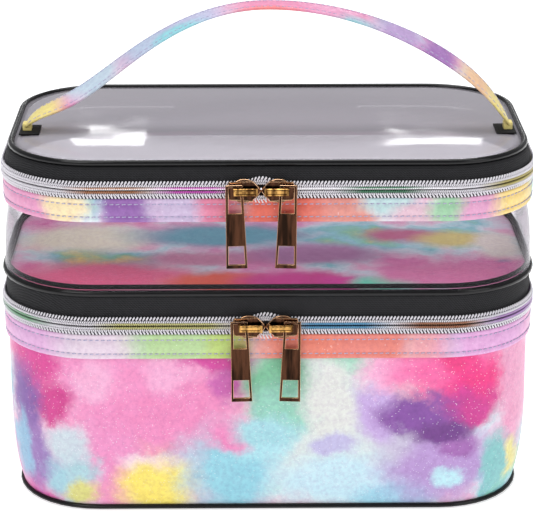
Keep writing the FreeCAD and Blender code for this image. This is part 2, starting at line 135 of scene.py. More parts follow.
class CaseSizes(bpy.types.PropertyGroup):
    """Small sizes that only the look depends on."""

    tooth_pitch: bpy.props.FloatProperty(
        name="Tooth pitch", description="Distance from one zip tooth to the next", default=1.5 * MM,
        min=1.0 * MM, unit="LENGTH")
    stitch_pitch: bpy.props.FloatProperty(
        name="Stitch pitch", description="Distance from one stitch to the next", default=2.6 * MM,
        min=1.5 * MM, unit="LENGTH")
    stitch_inset: bpy.props.FloatProperty(
        name="Stitch inset", description="Distance of a stitched row from the edge of its band",
        default=2.4 * MM, min=1.0 * MM, unit="LENGTH")
    wall_swell: bpy.props.FloatProperty(
        name="Wall swell", description="How far the wall swells between its seams",
        default=1.1 * MM, min=0.0, unit="LENGTH")


class CaseColours(bpy.types.PropertyGroup):
    """Plain colours of the trimmings."""

    edging: colour_property("Edging", "Corded edging and bindings", "#060607")
    tape: colour_property("Zip tape", "Woven zip tape", "#18181A")
    teeth: colour_property("Zip teeth", "Coiled zip teeth", "#E9E6EC")
    thread: colour_property("Thread", "Sewing thread", "#A29CBE")
    plating: colour_property("Plating", "Gold plated sliders and pulls", "#E9BE98")
    lining: colour_property("Lining", "Lining fabric", "#1B1B1E")


# ---------------------------------------------------------------- modelling helpers


def start_object():
    """Leave edit mode and deselect everything, as every operator that follows acts on the selection."""
    if bpy.context.object and bpy.context.object.mode != "OBJECT":
        bpy.ops.object.mode_set(mode="OBJECT")
    bpy.ops.object.select_all(action="DESELECT")


def open_piece(piece):
    """Select one piece alone and open it in edit mode."""
    start_object()
    piece.select_set(True)
    bpy.context.view_layer.objects.active = piece
    bpy.ops.object.mode_set(mode="EDIT")
    bpy.ops.mesh.select_all(action="DESELECT")


def select_edges(wanted):
    """Select only the edges that pass a test, in edit mode."""
    bpy.ops.mesh.select_mode(type="EDGE")
    bpy.ops.mesh.select_all(action="DESELECT")
    shell = bmesh.from_edit_mesh(bpy.context.object.data)
    for edge in shell.edges:
        edge.select_set(wanted(edge))
    bmesh.update_edit_mesh(bpy.context.object.data)


def apply_modifier(piece, kind, **settings):
    """Finish a piece with one modifier, applied at once."""
    start_object()
    piece.select_set(True)
    bpy.context.view_layer.objects.active = piece
    modifier = piece.modifiers.new(kind.title(), kind)
    for name, value in settings.items():
        setattr(modifier, name, value)
    bpy.ops.object.modifier_apply(modifier=modifier.name)


def finish_object(name, smooth=40):
    """Leave edit mode, put the object's place in its mesh, and shade it smooth below an angle."""
    bpy.ops.object.mode_set(mode="OBJECT")
    piece = bpy.context.object
    piece.name = name
    piece.data.name = name
    bpy.ops.object.transform_apply(location=True, rotation=True, scale=True)
    if smooth:
        bpy.ops.object.shade_smooth_by_angle(angle=math.radians(smooth))
    return piece


def stand_on(vertex, inset, height):
    """Move a point of the plan outline to another inset and height, square to the outline."""
    core = Vector((max(-CORE_X, min(CORE_X, vertex.co.x)), max(-CORE_Y, min(CORE_Y, vertex.co.y)), 0))
    outward = (Vector((vertex.co.x, vertex.co.y, 0)) - core).normalized()
    place = core + outward * (OUTLINE_CORNER - inset)
    vertex.co = (place.x, place.y, height)


def plan_outline(corner_steps=10, straight_cuts=12):
    """Start a new object in edit mode as the case's plan outline: a plane with round corners, its rim only."""
    start_object()
    bpy.ops.mesh.primitive_plane_add(size=2)
    bpy.ops.object.mode_set(mode="EDIT")
    bpy.ops.transform.resize(value=(OUTLINE_X, OUTLINE_Y, 1), center_override=(0, 0, 0))
    bpy.ops.mesh.bevel(affect="VERTICES", offset=OUTLINE_CORNER, segments=corner_steps)
    bpy.ops.mesh.delete(type="ONLY_FACE")
    select_edges(lambda edge: edge.calc_length() > OUTLINE_CORNER)
    bpy.ops.mesh.subdivide(number_cuts=straight_cuts)
    bpy.ops.mesh.select_mode(type="VERT")
    bpy.ops.mesh.select_all(action="SELECT")


def move_ring(inset, height):
    """Put the selected ring of points at an inset and a height."""
    shell = bmesh.from_edit_mesh(bpy.context.object.data)
    for vertex in shell.verts:
        if vertex.select:
            stand_on(vertex, inset, height)
    bmesh.update_edit_mesh(bpy.context.object.data)


def sweep_round(name, profile, closed=True, smooth=40, fill=False):
    """Carry a profile of (inset, height) points round the plan outline; fill gives the last ring a face."""
    plan_outline()
    rings = profile + profile[:1] if closed else profile
    move_ring(*rings[0])
    for inset, height in rings[1:]:
        bpy.ops.mesh.extrude_region_move()
        move_ring(inset, height)
    if fill:
        bpy.ops.mesh.edge_face_add()
    bpy.ops.mesh.select_all(action="SELECT")
    bpy.ops.mesh.remove_doubles(threshold=0.01 * MM)
    bpy.ops.mesh.normals_make_consistent(inside=False)
    return finish_object(name, smooth)


def round_profile(outer, low, thickness, height, bulge=0.3 * MM, steps=3):
    """Closed profile of a flat strip with soft long edges, as (inset, height) points."""
    inner = outer + thickness
    soft = min(thickness * 0.45, height * 0.3)
    points = []
    corners = (
        (outer + soft, low + soft, 270, 180),
        (outer + soft, low + height - soft, 180, 90),
        (inner - soft, low + height - soft, 90, 0),
        (inner - soft, low + soft, 360, 270),
    )
    for inset, level, start, end in corners:
        for step in range(steps + 1):
            angle = math.radians(start + (end - start) * step / steps)
            points.append((inset + soft * math.cos(angle), level + soft * math.sin(angle)))
        if (inset, level) == corners[0][:2]:
            points.append((outer - bulge, low + height / 2))
    return points


def cord_profile(inset, height, radius, steps=12):
    """Closed round profile of a cord."""
    turns = [math.tau * step / steps for step in range(steps)]
    return [(inset + radius * math.cos(turn), height + radius * math.sin(turn)) for turn in turns]


def crumple(piece, amount, spacing, seed, keep=None):
    """Move a piece's points in and out a little, as soft sheet does between its seams."""
    for vertex in piece.data.vertices:
        share = keep(vertex.co) if keep else 1.0
        offset = noise.noise(vertex.co / spacing + Vector((seed, 0, 0))) * amount * share
        vertex.co += vertex.normal * offset


def walk_outline(inset, pitch, back_gap=0.0):
    """Evenly spaced places round the plan outline, from the back on the left round the front to the right.

    Each is (point, outward direction, travel direction), all flat, in metres.
    """
    radius = OUTLINE_CORNER - inset
    half_back = CORE_X - back_gap / 2
    quarter = math.pi / 2 * radius
    runs = [
        ("line", Vector((-back_gap / 2, CORE_Y + radius, 0)), Vector((-1, 0, 0)), half_back),
        ("arc", Vector((-CORE_X, CORE_Y, 0)), math.pi / 2, quarter),
        ("line", Vector((-CORE_X - radius, CORE_Y, 0)), Vector((0, -1, 0)), 2 * CORE_Y),
        ("arc", Vector((-CORE_X, -CORE_Y, 0)), math.pi, quarter),
        ("line", Vector((-CORE_X, -CORE_Y - radius, 0)), Vector((1, 0, 0)), 2 * CORE_X),
        ("arc", Vector((CORE_X, -CORE_Y, 0)), math.pi * 3 / 2, quarter),
        ("line", Vector((CORE_X + radius, -CORE_Y, 0)), Vector((0, 1, 0)), 2 * CORE_Y),
        ("arc", Vector((CORE_X, CORE_Y, 0)), math.tau, quarter),
        ("line", Vector((CORE_X, CORE_Y + radius, 0)), Vector((-1, 0, 0)), half_back),
    ]
    whole = sum(run[3] for run in runs)
    count = max(1, round(whole / pitch))
    places = []
    for index in range(count):
        along = (index + 0.5) * whole / count
        for kind, origin, heading, length in runs:
            if along <= length:
                break
            along -= length
        if kind == "line":
            travel = heading
            point = origin + heading * along
        else:
            angle = heading + along / radius
            point = origin + Vector((math.cos(angle), math.sin(angle), 0)) * radius
            travel = Vector((-math.sin(angle), math.cos(angle), 0))
        outward = Vector((travel.y, -travel.x, 0))
        places.append((point, outward, travel))
    return places


def strew(name, model, matrices):
    """One piece made of a copy of the model's mesh at every matrix; the model itself is deleted."""
    heap = bmesh.new()
    for matrix in matrices:
        before = len(heap.verts)
        heap.from_mesh(model.data)
        heap.verts.ensure_lookup_table()
        bmesh.ops.transform(heap, matrix=matrix, verts=heap.verts[before:])
    mesh = bpy.data.meshes.new(name)
    heap.to_mesh(mesh)
    heap.free()
    piece = bpy.data.objects.new(name, mesh)
    bpy.context.collection.objects.link(piece)
    bpy.data.objects.remove(model)
    return piece


def rounded_bar(name, length, width, height, round_off, segments=1, smooth=60):
    """A small bar along X with rounded edges, for teeth and stitches."""
    start_object()
    bpy.ops.mesh.primitive_cube_add(size=1)
    bpy.ops.object.mode_set(mode="EDIT")
    bpy.ops.transform.resize(value=(length, width, height), center_override=(0, 0, 0))
    bpy.ops.mesh.bevel(offset=round_off, segments=segments)
    return finish_object(name, smooth)


def axes_matrix(point, along, across, out):
    """Matrix that puts a model's X, Y and Z along three directions at a point."""
    matrix = Matrix((along, across, out)).transposed().to_4x4()
    matrix.translation = point
    return matrix


def dress(piece, body, material, slot, *nodes):
    """Give a finished piece its material and its body, and hide the frame nodes it stands for. slot is not
    used.
    """
    piece.data.materials.clear()
    piece.data.materials.append(material)
    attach(piece, body)
    if nodes:
        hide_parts(*nodes)
    return piece


# ---------------------------------------------------------------- materials


def add_node(tree, kind, inputs=None, **settings):
    """Add a node, set its properties, and set or link its inputs."""
    node = tree.nodes.new(kind)
    for name, value in settings.items():
        setattr(node, name, value)
    for socket, value in (inputs or {}).items():
        if isinstance(value, bpy.types.NodeSocket):
            tree.links.new(value, node.inputs[socket])
        else:
            node.inputs[socket].default_value = value
    return node


def new_material(name):
    """An empty material with its node tree and its object coordinates."""
    material = bpy.data.materials.new(name)
    material.use_nodes = True
    tree = material.node_tree
    tree.nodes.clear()
    place = add_node(tree, "ShaderNodeTexCoord").outputs["Object"]
    return material, tree, place


def opaque(colour):
    """A hex colour or a linear triple as a socket value."""
    rgb = linear(colour) if isinstance(colour, str) else tuple(colour)
    return (*rgb, 1.0)


# The Mix node keeps a set of sockets for each kind of value; these are the ones for colours.
MIX_A, MIX_B, MIX_RESULT = 6, 7, 2


def watery_place(tree, place, reach, spacing):
    """The point pushed about by soft noise, so that dye spreads in ragged pools."""
    coarse = add_node(tree, "ShaderNodeTexNoise", {"Vector": place, "Scale": 1 / spacing, "Detail": 8.0,
                                                   "Roughness": 0.68})
    centred = add_node(tree, "ShaderNodeVectorMath", {0: coarse.outputs["Color"], 1: (0.5, 0.5, 0.5)},
                       operation="SUBTRACT")
    pushed = add_node(tree, "ShaderNodeVectorMath", {0: centred.outputs[0], "Scale": reach * 2},
                      operation="SCALE")
    return add_node(tree, "ShaderNodeVectorMath", {0: place, 1: pushed.outputs[0]}, operation="ADD").outputs[0]


def dye_pools(tree, place, ground, pools):
    """Lay pools of dye over a ground colour. Each pool is (hex, centre, reach) in millimetres."""
    colour = ground
    for shade, centre, reach in pools:
        shrink = tuple(1 / (one * MM) for one in reach)
        moved = add_node(tree, "ShaderNodeVectorMath",
                         {0: place, 1: tuple(-one * MM for one in centre)}, operation="ADD")
        scaled = add_node(tree, "ShaderNodeVectorMath", {0: moved.outputs[0], 1: shrink}, operation="MULTIPLY")
        distance = add_node(tree, "ShaderNodeVectorMath", {0: scaled.outputs[0]}, operation="LENGTH")
        share = add_node(tree, "ShaderNodeMapRange",
                         {"Value": distance.outputs["Value"], "From Min": 1.38, "From Max": 0.5,
                          "To Min": 0.0, "To Max": 1.0}, interpolation_type="SMOOTHSTEP")
        mixed = add_node(tree, "ShaderNodeMix", {0: share.outputs[0], MIX_A: colour, MIX_B: opaque(shade)},
                         data_type="RGBA")
        colour = mixed.outputs[MIX_RESULT]
    return colour


def ground_dye(tree, place, spacing, shades):
    """Soft clouds of colour for the parts of the cloth that no pool reaches."""
    clouds = add_node(tree, "ShaderNodeTexNoise", {"Vector": place, "Scale": 1 / spacing, "Detail": 4.0,
                                                   "Roughness": 0.5})
    ramp = add_node(tree, "ShaderNodeValToRGB", {"Fac": clouds.outputs["Fac"]})
    stops = ramp.color_ramp.elements
    while len(stops) < len(shades):
        stops.new(0.5)
    for index, shade in enumerate(shades):
        stops[index].position = 0.28 + 0.44 * index / (len(shades) - 1)
        stops[index].color = opaque(shade)
    return ramp.outputs["Color"]


CLOUDS = ("#7A4FA0", "#E35AA4", "#EE8ABB", "#F0B7D2", "#D9E6EC", "#8CCFD6", "#86CBA4", "#F2DE74")


def tie_dye(name, pools, reach=16.0, spacing=34.0, glitter=0.06):
    """Tie-dye printed coated fabric: a film of soft PVC with a fine pebble grain and a little fine glitter.

    The eye sees flat watery colour with ragged edges, a satin sheen and single bright specks. reach and
    spacing are the size of the ragged edges in millimetres; glitter is the share of flakes that shine.
    """
    material, tree, place = new_material(name)
    watery = watery_place(tree, place, reach * MM, spacing * MM)
    clouds = ground_dye(tree, watery, 42 * MM, CLOUDS)
    colour = dye_pools(tree, watery, clouds, pools)

    # Dye takes unevenly: a mottle about 5 mm across, a few percent either way.
    mottle = add_node(tree, "ShaderNodeTexNoise", {"Vector": place, "Scale": 1 / (5 * MM), "Detail": 5.0})
    worn = add_node(tree, "ShaderNodeMapRange", {"Value": mottle.outputs["Fac"], "From Min": 0.3,
                                                 "From Max": 0.7, "To Min": 0.0, "To Max": 0.22})
    paler = add_node(tree, "ShaderNodeMix", {0: worn.outputs[0], MIX_A: colour, MIX_B: opaque("#FFFFFF")},
                     data_type="RGBA", blend_type="SOFT_LIGHT")

    # Single threads of the base cloth print through as a fine uneven darkening, about 2 mm across.
    cloth = add_node(tree, "ShaderNodeTexNoise", {"Vector": place, "Scale": 1 / (2 * MM), "Detail": 6.0,
                                                  "Roughness": 0.7})
    darker = add_node(tree, "ShaderNodeMapRange", {"Value": cloth.outputs["Fac"], "From Min": 0.42,
                                                   "From Max": 0.72, "To Min": 0.0, "To Max": 0.5})
    threads = add_node(tree, "ShaderNodeMix",
                       {0: darker.outputs[0], MIX_A: paler.outputs[MIX_RESULT], MIX_B: opaque("#D2BFD8")},
                       data_type="RGBA", blend_type="MULTIPLY")

    # Glitter flakes are 0.1 mm; they are drawn at 0.45 mm so that they show, and lie thicker in some patches.
    # The flakes that shine are painted near white, a painted glint on real flakes, and are made glossier.
    flakes = add_node(tree, "ShaderNodeTexVoronoi", {"Vector": place, "Scale": 1 / (0.45 * MM)})
    chosen = add_node(tree, "ShaderNodeSeparateColor", {"Color": flakes.outputs["Color"]})
    patches = add_node(tree, "ShaderNodeTexNoise", {"Vector": place, "Scale": 1 / (30 * MM), "Detail": 2.0})
    rarity = add_node(tree, "ShaderNodeMath",
                      {0: patches.outputs["Fac"], 1: -glitter * 3, 2: 1.0 + glitter * 0.85},
                      operation="MULTIPLY_ADD")
    bright = add_node(tree, "ShaderNodeMath", {0: chosen.outputs[0], 1: rarity.outputs[0]},
                      operation="GREATER_THAN")
    near = add_node(tree, "ShaderNodeMath", {0: flakes.outputs["Distance"], 1: 0.42}, operation="LESS_THAN")
    speck = add_node(tree, "ShaderNodeMath", {0: bright.outputs[0], 1: near.outputs[0]}, operation="MULTIPLY")
    glint = add_node(tree, "ShaderNodeMath", {0: speck.outputs[0], 1: 0.6}, operation="MULTIPLY")
    glitter_and_glint = add_node(tree, "ShaderNodeMix", {0: glint.outputs[0], MIX_A: threads.outputs[MIX_RESULT],
                                                 MIX_B: opaque("#FBFBFF")}, data_type="RGBA")

    # Pebble grain is 0.5 mm from one pebble to the next; it is drawn at 1.2 mm so that it shows.
    grain = add_node(tree, "ShaderNodeTexVoronoi", {"Vector": place, "Scale": 1 / (1.2 * MM)},
                     feature="SMOOTH_F1")
    bump = add_node(tree, "ShaderNodeBump", {"Height": grain.outputs["Distance"], "Distance": 0.08 * MM,
                                             "Strength": 0.6})
    rough = add_node(tree, "ShaderNodeMath", {0: speck.outputs[0], 1: -0.25, 2: 0.46},
                     operation="MULTIPLY_ADD")
    shader = add_node(tree, "ShaderNodeBsdfPrincipled",
                      {"Base Color": glitter_and_glint.outputs[MIX_RESULT], "Roughness": rough.outputs[0],
                       "Normal": bump.outputs[0], "IOR": 1.5, "Coat Weight": 0.18, "Coat Roughness": 0.22,
                       "Specular IOR Level": 0.4})
    add_node(tree, "ShaderNodeOutputMaterial", {"Surface": shader.outputs[0]})
    return material


def woven(name, colour, pitch=1.3, sheen=0.06):
    """Woven polyester tape or lining in a 2/1 twill: matte black with fine slanted ribs, painted lighter on
    their tops and darker in their hollows as painted highlight and painted shade.

    pitch is the distance between ribs in millimetres, drawn about twice as coarse as real so that it shows.
    """
    material, tree, place = new_material(name)
    axes = add_node(tree, "ShaderNodeSeparateXYZ", {"Vector": place})
    run = add_node(tree, "ShaderNodeMath", {0: axes.outputs["X"], 1: axes.outputs["Y"]}, operation="ADD")
    slant = add_node(tree, "ShaderNodeMath", {0: run.outputs[0], 1: axes.outputs["Z"]}, operation="ADD")
    rib_turn = add_node(tree, "ShaderNodeMath", {0: slant.outputs[0], 1: math.tau / (pitch * MM)},
                        operation="MULTIPLY")
    rib = add_node(tree, "ShaderNodeMath", {0: rib_turn.outputs[0]}, operation="SINE")
    weft_turn = add_node(tree, "ShaderNodeMath", {0: axes.outputs["Z"], 1: math.tau / (pitch * 0.7 * MM)},
                         operation="MULTIPLY")
    weft = add_node(tree, "ShaderNodeMath", {0: weft_turn.outputs[0]}, operation="SINE")
    height = add_node(tree, "ShaderNodeMath", {0: weft.outputs[0], 1: 0.6, 2: rib.outputs[0]},
                      operation="MULTIPLY_ADD")
    lint = add_node(tree, "ShaderNodeTexNoise", {"Vector": place, "Scale": 1 / (1.6 * MM), "Detail": 4.0})
    shade = add_node(tree, "ShaderNodeMapRange", {"Value": height.outputs[0], "From Min": -1.6, "From Max": 1.6,
                                                  "To Min": 0.0, "To Max": 0.55})
    lint_and_rib_light = add_node(tree, "ShaderNodeMath", {0: lint.outputs["Fac"], 1: 0.35, 2: shade.outputs[0]},
                     operation="MULTIPLY_ADD")
    # Painted shade in the rib hollows and painted highlight on the rib tops: the colour follows the ribs'
    # height, mixed with random lint.
    hollow = tuple(one * 0.3 for one in colour)
    ridge = tuple(min(1.0, one * 3.2 + 0.012) for one in colour)
    mixed = add_node(tree, "ShaderNodeMix", {0: lint_and_rib_light.outputs[0], MIX_A: opaque(hollow), MIX_B: opaque(ridge)},
                     data_type="RGBA")
    bump = add_node(tree, "ShaderNodeBump", {"Height": height.outputs[0], "Distance": 0.07 * MM,
                                             "Strength": 0.8})
    shader = add_node(tree, "ShaderNodeBsdfPrincipled",
                      {"Base Color": mixed.outputs[MIX_RESULT], "Roughness": 0.82, "Normal": bump.outputs[0],
                       "Sheen Weight": sheen, "Sheen Roughness": 0.5, "Specular IOR Level": 0.15})
    add_node(tree, "ShaderNodeOutputMaterial", {"Surface": shader.outputs[0]})
    return material


def soft_vinyl_cord(name, colour):
    """Extruded soft vinyl: deep black, glossy, with slight ripples along its length where it was sewn in."""
    material, tree, place = new_material(name)
    waves = add_node(tree, "ShaderNodeTexNoise", {"Vector": place, "Scale": 1 / (3.5 * MM), "Detail": 2.0})
    dust = add_node(tree, "ShaderNodeTexNoise", {"Vector": place, "Scale": 1 / (0.8 * MM), "Detail": 3.0})
    rough = add_node(tree, "ShaderNodeMapRange", {"Value": dust.outputs["Fac"], "From Min": 0.3,
                                                  "From Max": 0.75, "To Min": 0.12, "To Max": 0.24})
    dusty = add_node(tree, "ShaderNodeMath", {0: dust.outputs["Fac"], 1: 0.05}, operation="MULTIPLY")
    shade = add_node(tree, "ShaderNodeMix",
                     {0: dusty.outputs[0], MIX_A: opaque(colour), MIX_B: opaque("#5A5A60")}, data_type="RGBA")
    bump = add_node(tree, "ShaderNodeBump", {"Height": waves.outputs["Fac"], "Distance": 0.06 * MM,
                                             "Strength": 0.6})
    shader = add_node(tree, "ShaderNodeBsdfPrincipled",
                      {"Base Color": shade.outputs[MIX_RESULT], "Roughness": rough.outputs[0],
                       "Normal": bump.outputs[0], "IOR": 1.53, "Specular IOR Level": 0.28})
    add_node(tree, "ShaderNodeOutputMaterial", {"Surface": shader.outputs[0]})
    return material


def clear_vinyl(name, tint, film, mirror, haze, power, wave):
    """Calendered clear PVC sheet: nearly invisible face on, a soft mirror at a slant, with long lazy ripples.

    tint is what shows through and film what the surface adds. haze is the film's share seen face on, mirror
    what it gains at a slant, and power how late it gains it. wave is the ripples' height in millimetres.
    """
    material, tree, place = new_material(name)
    ripples = add_node(tree, "ShaderNodeTexNoise", {"Vector": place, "Scale": 1 / (38 * MM), "Detail": 1.0})
    bump = add_node(tree, "ShaderNodeBump", {"Height": ripples.outputs["Fac"], "Distance": wave * MM,
                                             "Strength": 1.0})
    smear = add_node(tree, "ShaderNodeTexNoise", {"Vector": place, "Scale": 1 / (20 * MM), "Detail": 3.0})
    rough = add_node(tree, "ShaderNodeMapRange", {"Value": smear.outputs["Fac"], "From Min": 0.3,
                                                  "From Max": 0.7, "To Min": 0.03, "To Max": 0.10})
    gloss = add_node(tree, "ShaderNodeBsdfPrincipled",
                     {"Base Color": opaque(film), "Roughness": rough.outputs[0], "Normal": bump.outputs[0],
                      "IOR": 1.53})
    through = add_node(tree, "ShaderNodeBsdfTransparent", {"Color": opaque(tint)})
    slant = add_node(tree, "ShaderNodeLayerWeight", {"Blend": 0.5, "Normal": bump.outputs[0]})
    steep = add_node(tree, "ShaderNodeMath", {0: slant.outputs["Facing"], 1: power}, operation="POWER")
    share = add_node(tree, "ShaderNodeMath", {0: steep.outputs[0], 1: mirror, 2: haze},
                     operation="MULTIPLY_ADD", use_clamp=True)
    mix = add_node(tree, "ShaderNodeMixShader",
                   {0: share.outputs[0], 1: through.outputs[0], 2: gloss.outputs[0]})
    add_node(tree, "ShaderNodeOutputMaterial", {"Surface": mix.outputs[0]})
    return material


def plated(name, colour, dark, roughness=0.16, streak=1.0):
    """Gold plated zinc casting: a bright mirror with the faint orange peel of a polished casting.

    Long streaks of painted reflection shift the plating towards its dark colour, as the eye sees on a brushed
    pull; the same streaks vary the roughness.
    """
    material, tree, place = new_material(name)
    peel = add_node(tree, "ShaderNodeTexNoise", {"Vector": place, "Scale": 1 / (1.5 * MM), "Detail": 2.0})
    bump = add_node(tree, "ShaderNodeBump", {"Height": peel.outputs["Fac"], "Distance": 0.02 * MM,
                                             "Strength": 0.5})
    drawn = add_node(tree, "ShaderNodeMapping", {"Vector": place, "Scale": (1.0, 1.0, 0.12)})
    rub_and_reflection = add_node(tree, "ShaderNodeTexNoise", {"Vector": drawn.outputs[0], "Scale": 1 / (2.2 * MM),
                                                "Detail": 3.0})
    rough = add_node(tree, "ShaderNodeMapRange", {"Value": rub_and_reflection.outputs["Fac"], "From Min": 0.3, "From Max": 0.7,
                                                  "To Min": roughness * 0.7, "To Max": roughness * 1.7})
    share = add_node(tree, "ShaderNodeMapRange", {"Value": rub_and_reflection.outputs["Fac"], "From Min": 0.38,
                                                  "From Max": 0.62, "To Min": 0.0, "To Max": streak})
    shade = add_node(tree, "ShaderNodeMix", {0: share.outputs[0], MIX_A: opaque(colour), MIX_B: opaque(dark)},
                     data_type="RGBA")
    shader = add_node(tree, "ShaderNodeBsdfPrincipled",
                      {"Base Color": shade.outputs[MIX_RESULT], "Metallic": 1.0, "Roughness": rough.outputs[0],
                       "Normal": bump.outputs[0]})
    add_node(tree, "ShaderNodeOutputMaterial", {"Surface": shader.outputs[0]})
    return material


def paint_dark_faces(piece, face):
    """Give the flat front and back faces of a plated piece a darker copy of the plating, a painted dark
    reflection; the rims keep the bright plating.
    """
    piece.data.materials.append(face)
    for polygon in piece.data.polygons:
        if abs(polygon.normal.y) > 0.93:
            polygon.material_index = 1


def coil_nylon(name, white, middle, tints):
    """Coiled nylon zip teeth: pearly white, with the joining heads dyed in a changing colour.

    middle is the height of the joint; tints are (hex, from X, to X) in millimetres.
    """
    material, tree, place = new_material(name)
    axes = add_node(tree, "ShaderNodeSeparateXYZ", {"Vector": place})
    above = add_node(tree, "ShaderNodeMath", {0: axes.outputs["Z"], 1: middle}, operation="SUBTRACT")
    off = add_node(tree, "ShaderNodeMath", {0: above.outputs[0]}, operation="ABSOLUTE")
    head = add_node(tree, "ShaderNodeMapRange", {"Value": off.outputs[0], "From Min": 1.5 * MM,
                                                 "From Max": 1.3 * MM, "To Min": 0.0, "To Max": 1.0})
    dye = opaque(white)
    soft = 6 * MM
    for shade, start, end in tints:
        rise = add_node(tree, "ShaderNodeMapRange", {"Value": axes.outputs["X"], "From Min": start * MM - soft,
                                                     "From Max": start * MM + soft})
        fall = add_node(tree, "ShaderNodeMapRange", {"Value": axes.outputs["X"], "From Min": end * MM + soft,
                                                     "From Max": end * MM - soft})
        share = add_node(tree, "ShaderNodeMath", {0: rise.outputs[0], 1: fall.outputs[0]}, operation="MULTIPLY")
        dyed = add_node(tree, "ShaderNodeMix", {0: share.outputs[0], MIX_A: dye, MIX_B: opaque(shade)},
                        data_type="RGBA")
        dye = dyed.outputs[MIX_RESULT]
    tinted = add_node(tree, "ShaderNodeMix", {0: head.outputs[0], MIX_A: opaque(white), MIX_B: dye},
                      data_type="RGBA")
    speck = add_node(tree, "ShaderNodeTexNoise", {"Vector": place, "Scale": 1 / (0.7 * MM), "Detail": 2.0})
    grime = add_node(tree, "ShaderNodeMath", {0: speck.outputs["Fac"], 1: 0.3}, operation="MULTIPLY")
    mixed = add_node(tree, "ShaderNodeMix", {0: grime.outputs[0], MIX_A: tinted.outputs[MIX_RESULT],
                                             MIX_B: opaque("#8F8A96")}, data_type="RGBA")
    bump = add_node(tree, "ShaderNodeBump", {"Height": speck.outputs["Fac"], "Distance": 0.03 * MM})
    shader = add_node(tree, "ShaderNodeBsdfPrincipled",
                      {"Base Color": mixed.outputs[MIX_RESULT], "Roughness": 0.32, "Normal": bump.outputs[0],
                       "IOR": 1.53, "Coat Weight": 0.2})
    add_node(tree, "ShaderNodeOutputMaterial", {"Surface": shader.outputs[0]})
    return material


def spun_thread(name, colour):
    """Spun polyester sewing thread: matte twisted strands, drawn as a slant stripe on each stitch."""
    material, tree, place = new_material(name)
    twist = add_node(tree, "ShaderNodeTexWave", {"Vector": place, "Scale": 1 / (2.2 * MM), "Distortion": 1.0},
                     bands_direction="DIAGONAL")
    share = add_node(tree, "ShaderNodeMath", {0: twist.outputs["Fac"], 1: 0.5}, operation="MULTIPLY")
    mixed = add_node(tree, "ShaderNodeMix",
                     {0: share.outputs[0], MIX_A: opaque(colour), MIX_B: opaque("#D9D5E6")}, data_type="RGBA")
    bump = add_node(tree, "ShaderNodeBump", {"Height": twist.outputs["Fac"], "Distance": 0.04 * MM})
    shader = add_node(tree, "ShaderNodeBsdfPrincipled",
                      {"Base Color": mixed.outputs[MIX_RESULT], "Roughness": 0.7, "Normal": bump.outputs[0]})
    add_node(tree, "ShaderNodeOutputMaterial", {"Surface": shader.outputs[0]})
    return material


def pressed_board(name):
    """Grey pressed board: dull, flecked with fibres."""
    material, tree, place = new_material(name)
    fibres = add_node(tree, "ShaderNodeTexNoise", {"Vector": place, "Scale": 1 / (1.2 * MM), "Detail": 6.0})
    mixed = add_node(tree, "ShaderNodeMix", {0: fibres.outputs["Fac"], MIX_A: opaque("#6E685E"),
                                             MIX_B: opaque("#A89F90")}, data_type="RGBA")
    bump = add_node(tree, "ShaderNodeBump", {"Height": fibres.outputs["Fac"], "Distance": 0.08 * MM})
    shader = add_node(tree, "ShaderNodeBsdfPrincipled",
                      {"Base Color": mixed.outputs[MIX_RESULT], "Roughness": 0.9, "Normal": bump.outputs[0]})
    add_node(tree, "ShaderNodeOutputMaterial", {"Surface": shader.outputs[0]})
    return material


def studio_paper(name):
    """Matt white background paper: even and dull, lit through from behind so that it stays pale."""
    material, tree, place = new_material(name)
    grain = add_node(tree, "ShaderNodeTexNoise", {"Vector": place, "Scale": 1 / (4 * MM), "Detail": 3.0})
    share = add_node(tree, "ShaderNodeMath", {0: grain.outputs["Fac"], 1: 0.06}, operation="MULTIPLY")
    shade = add_node(tree, "ShaderNodeMix", {0: share.outputs[0], MIX_A: opaque("#FAFAFA"),
                                             MIX_B: opaque("#EDEDEE")}, data_type="RGBA")
    shader = add_node(tree, "ShaderNodeBsdfPrincipled",
                      {"Base Color": shade.outputs[MIX_RESULT], "Roughness": 0.85, "Specular IOR Level": 0.2,
                       "Emission Color": opaque("#FFFFFF"), "Emission Strength": 0.6})
    add_node(tree, "ShaderNodeOutputMaterial", {"Surface": shader.outputs[0]})
    return material


# Y of the wall's front, in millimetres.
FRONT = -68.0
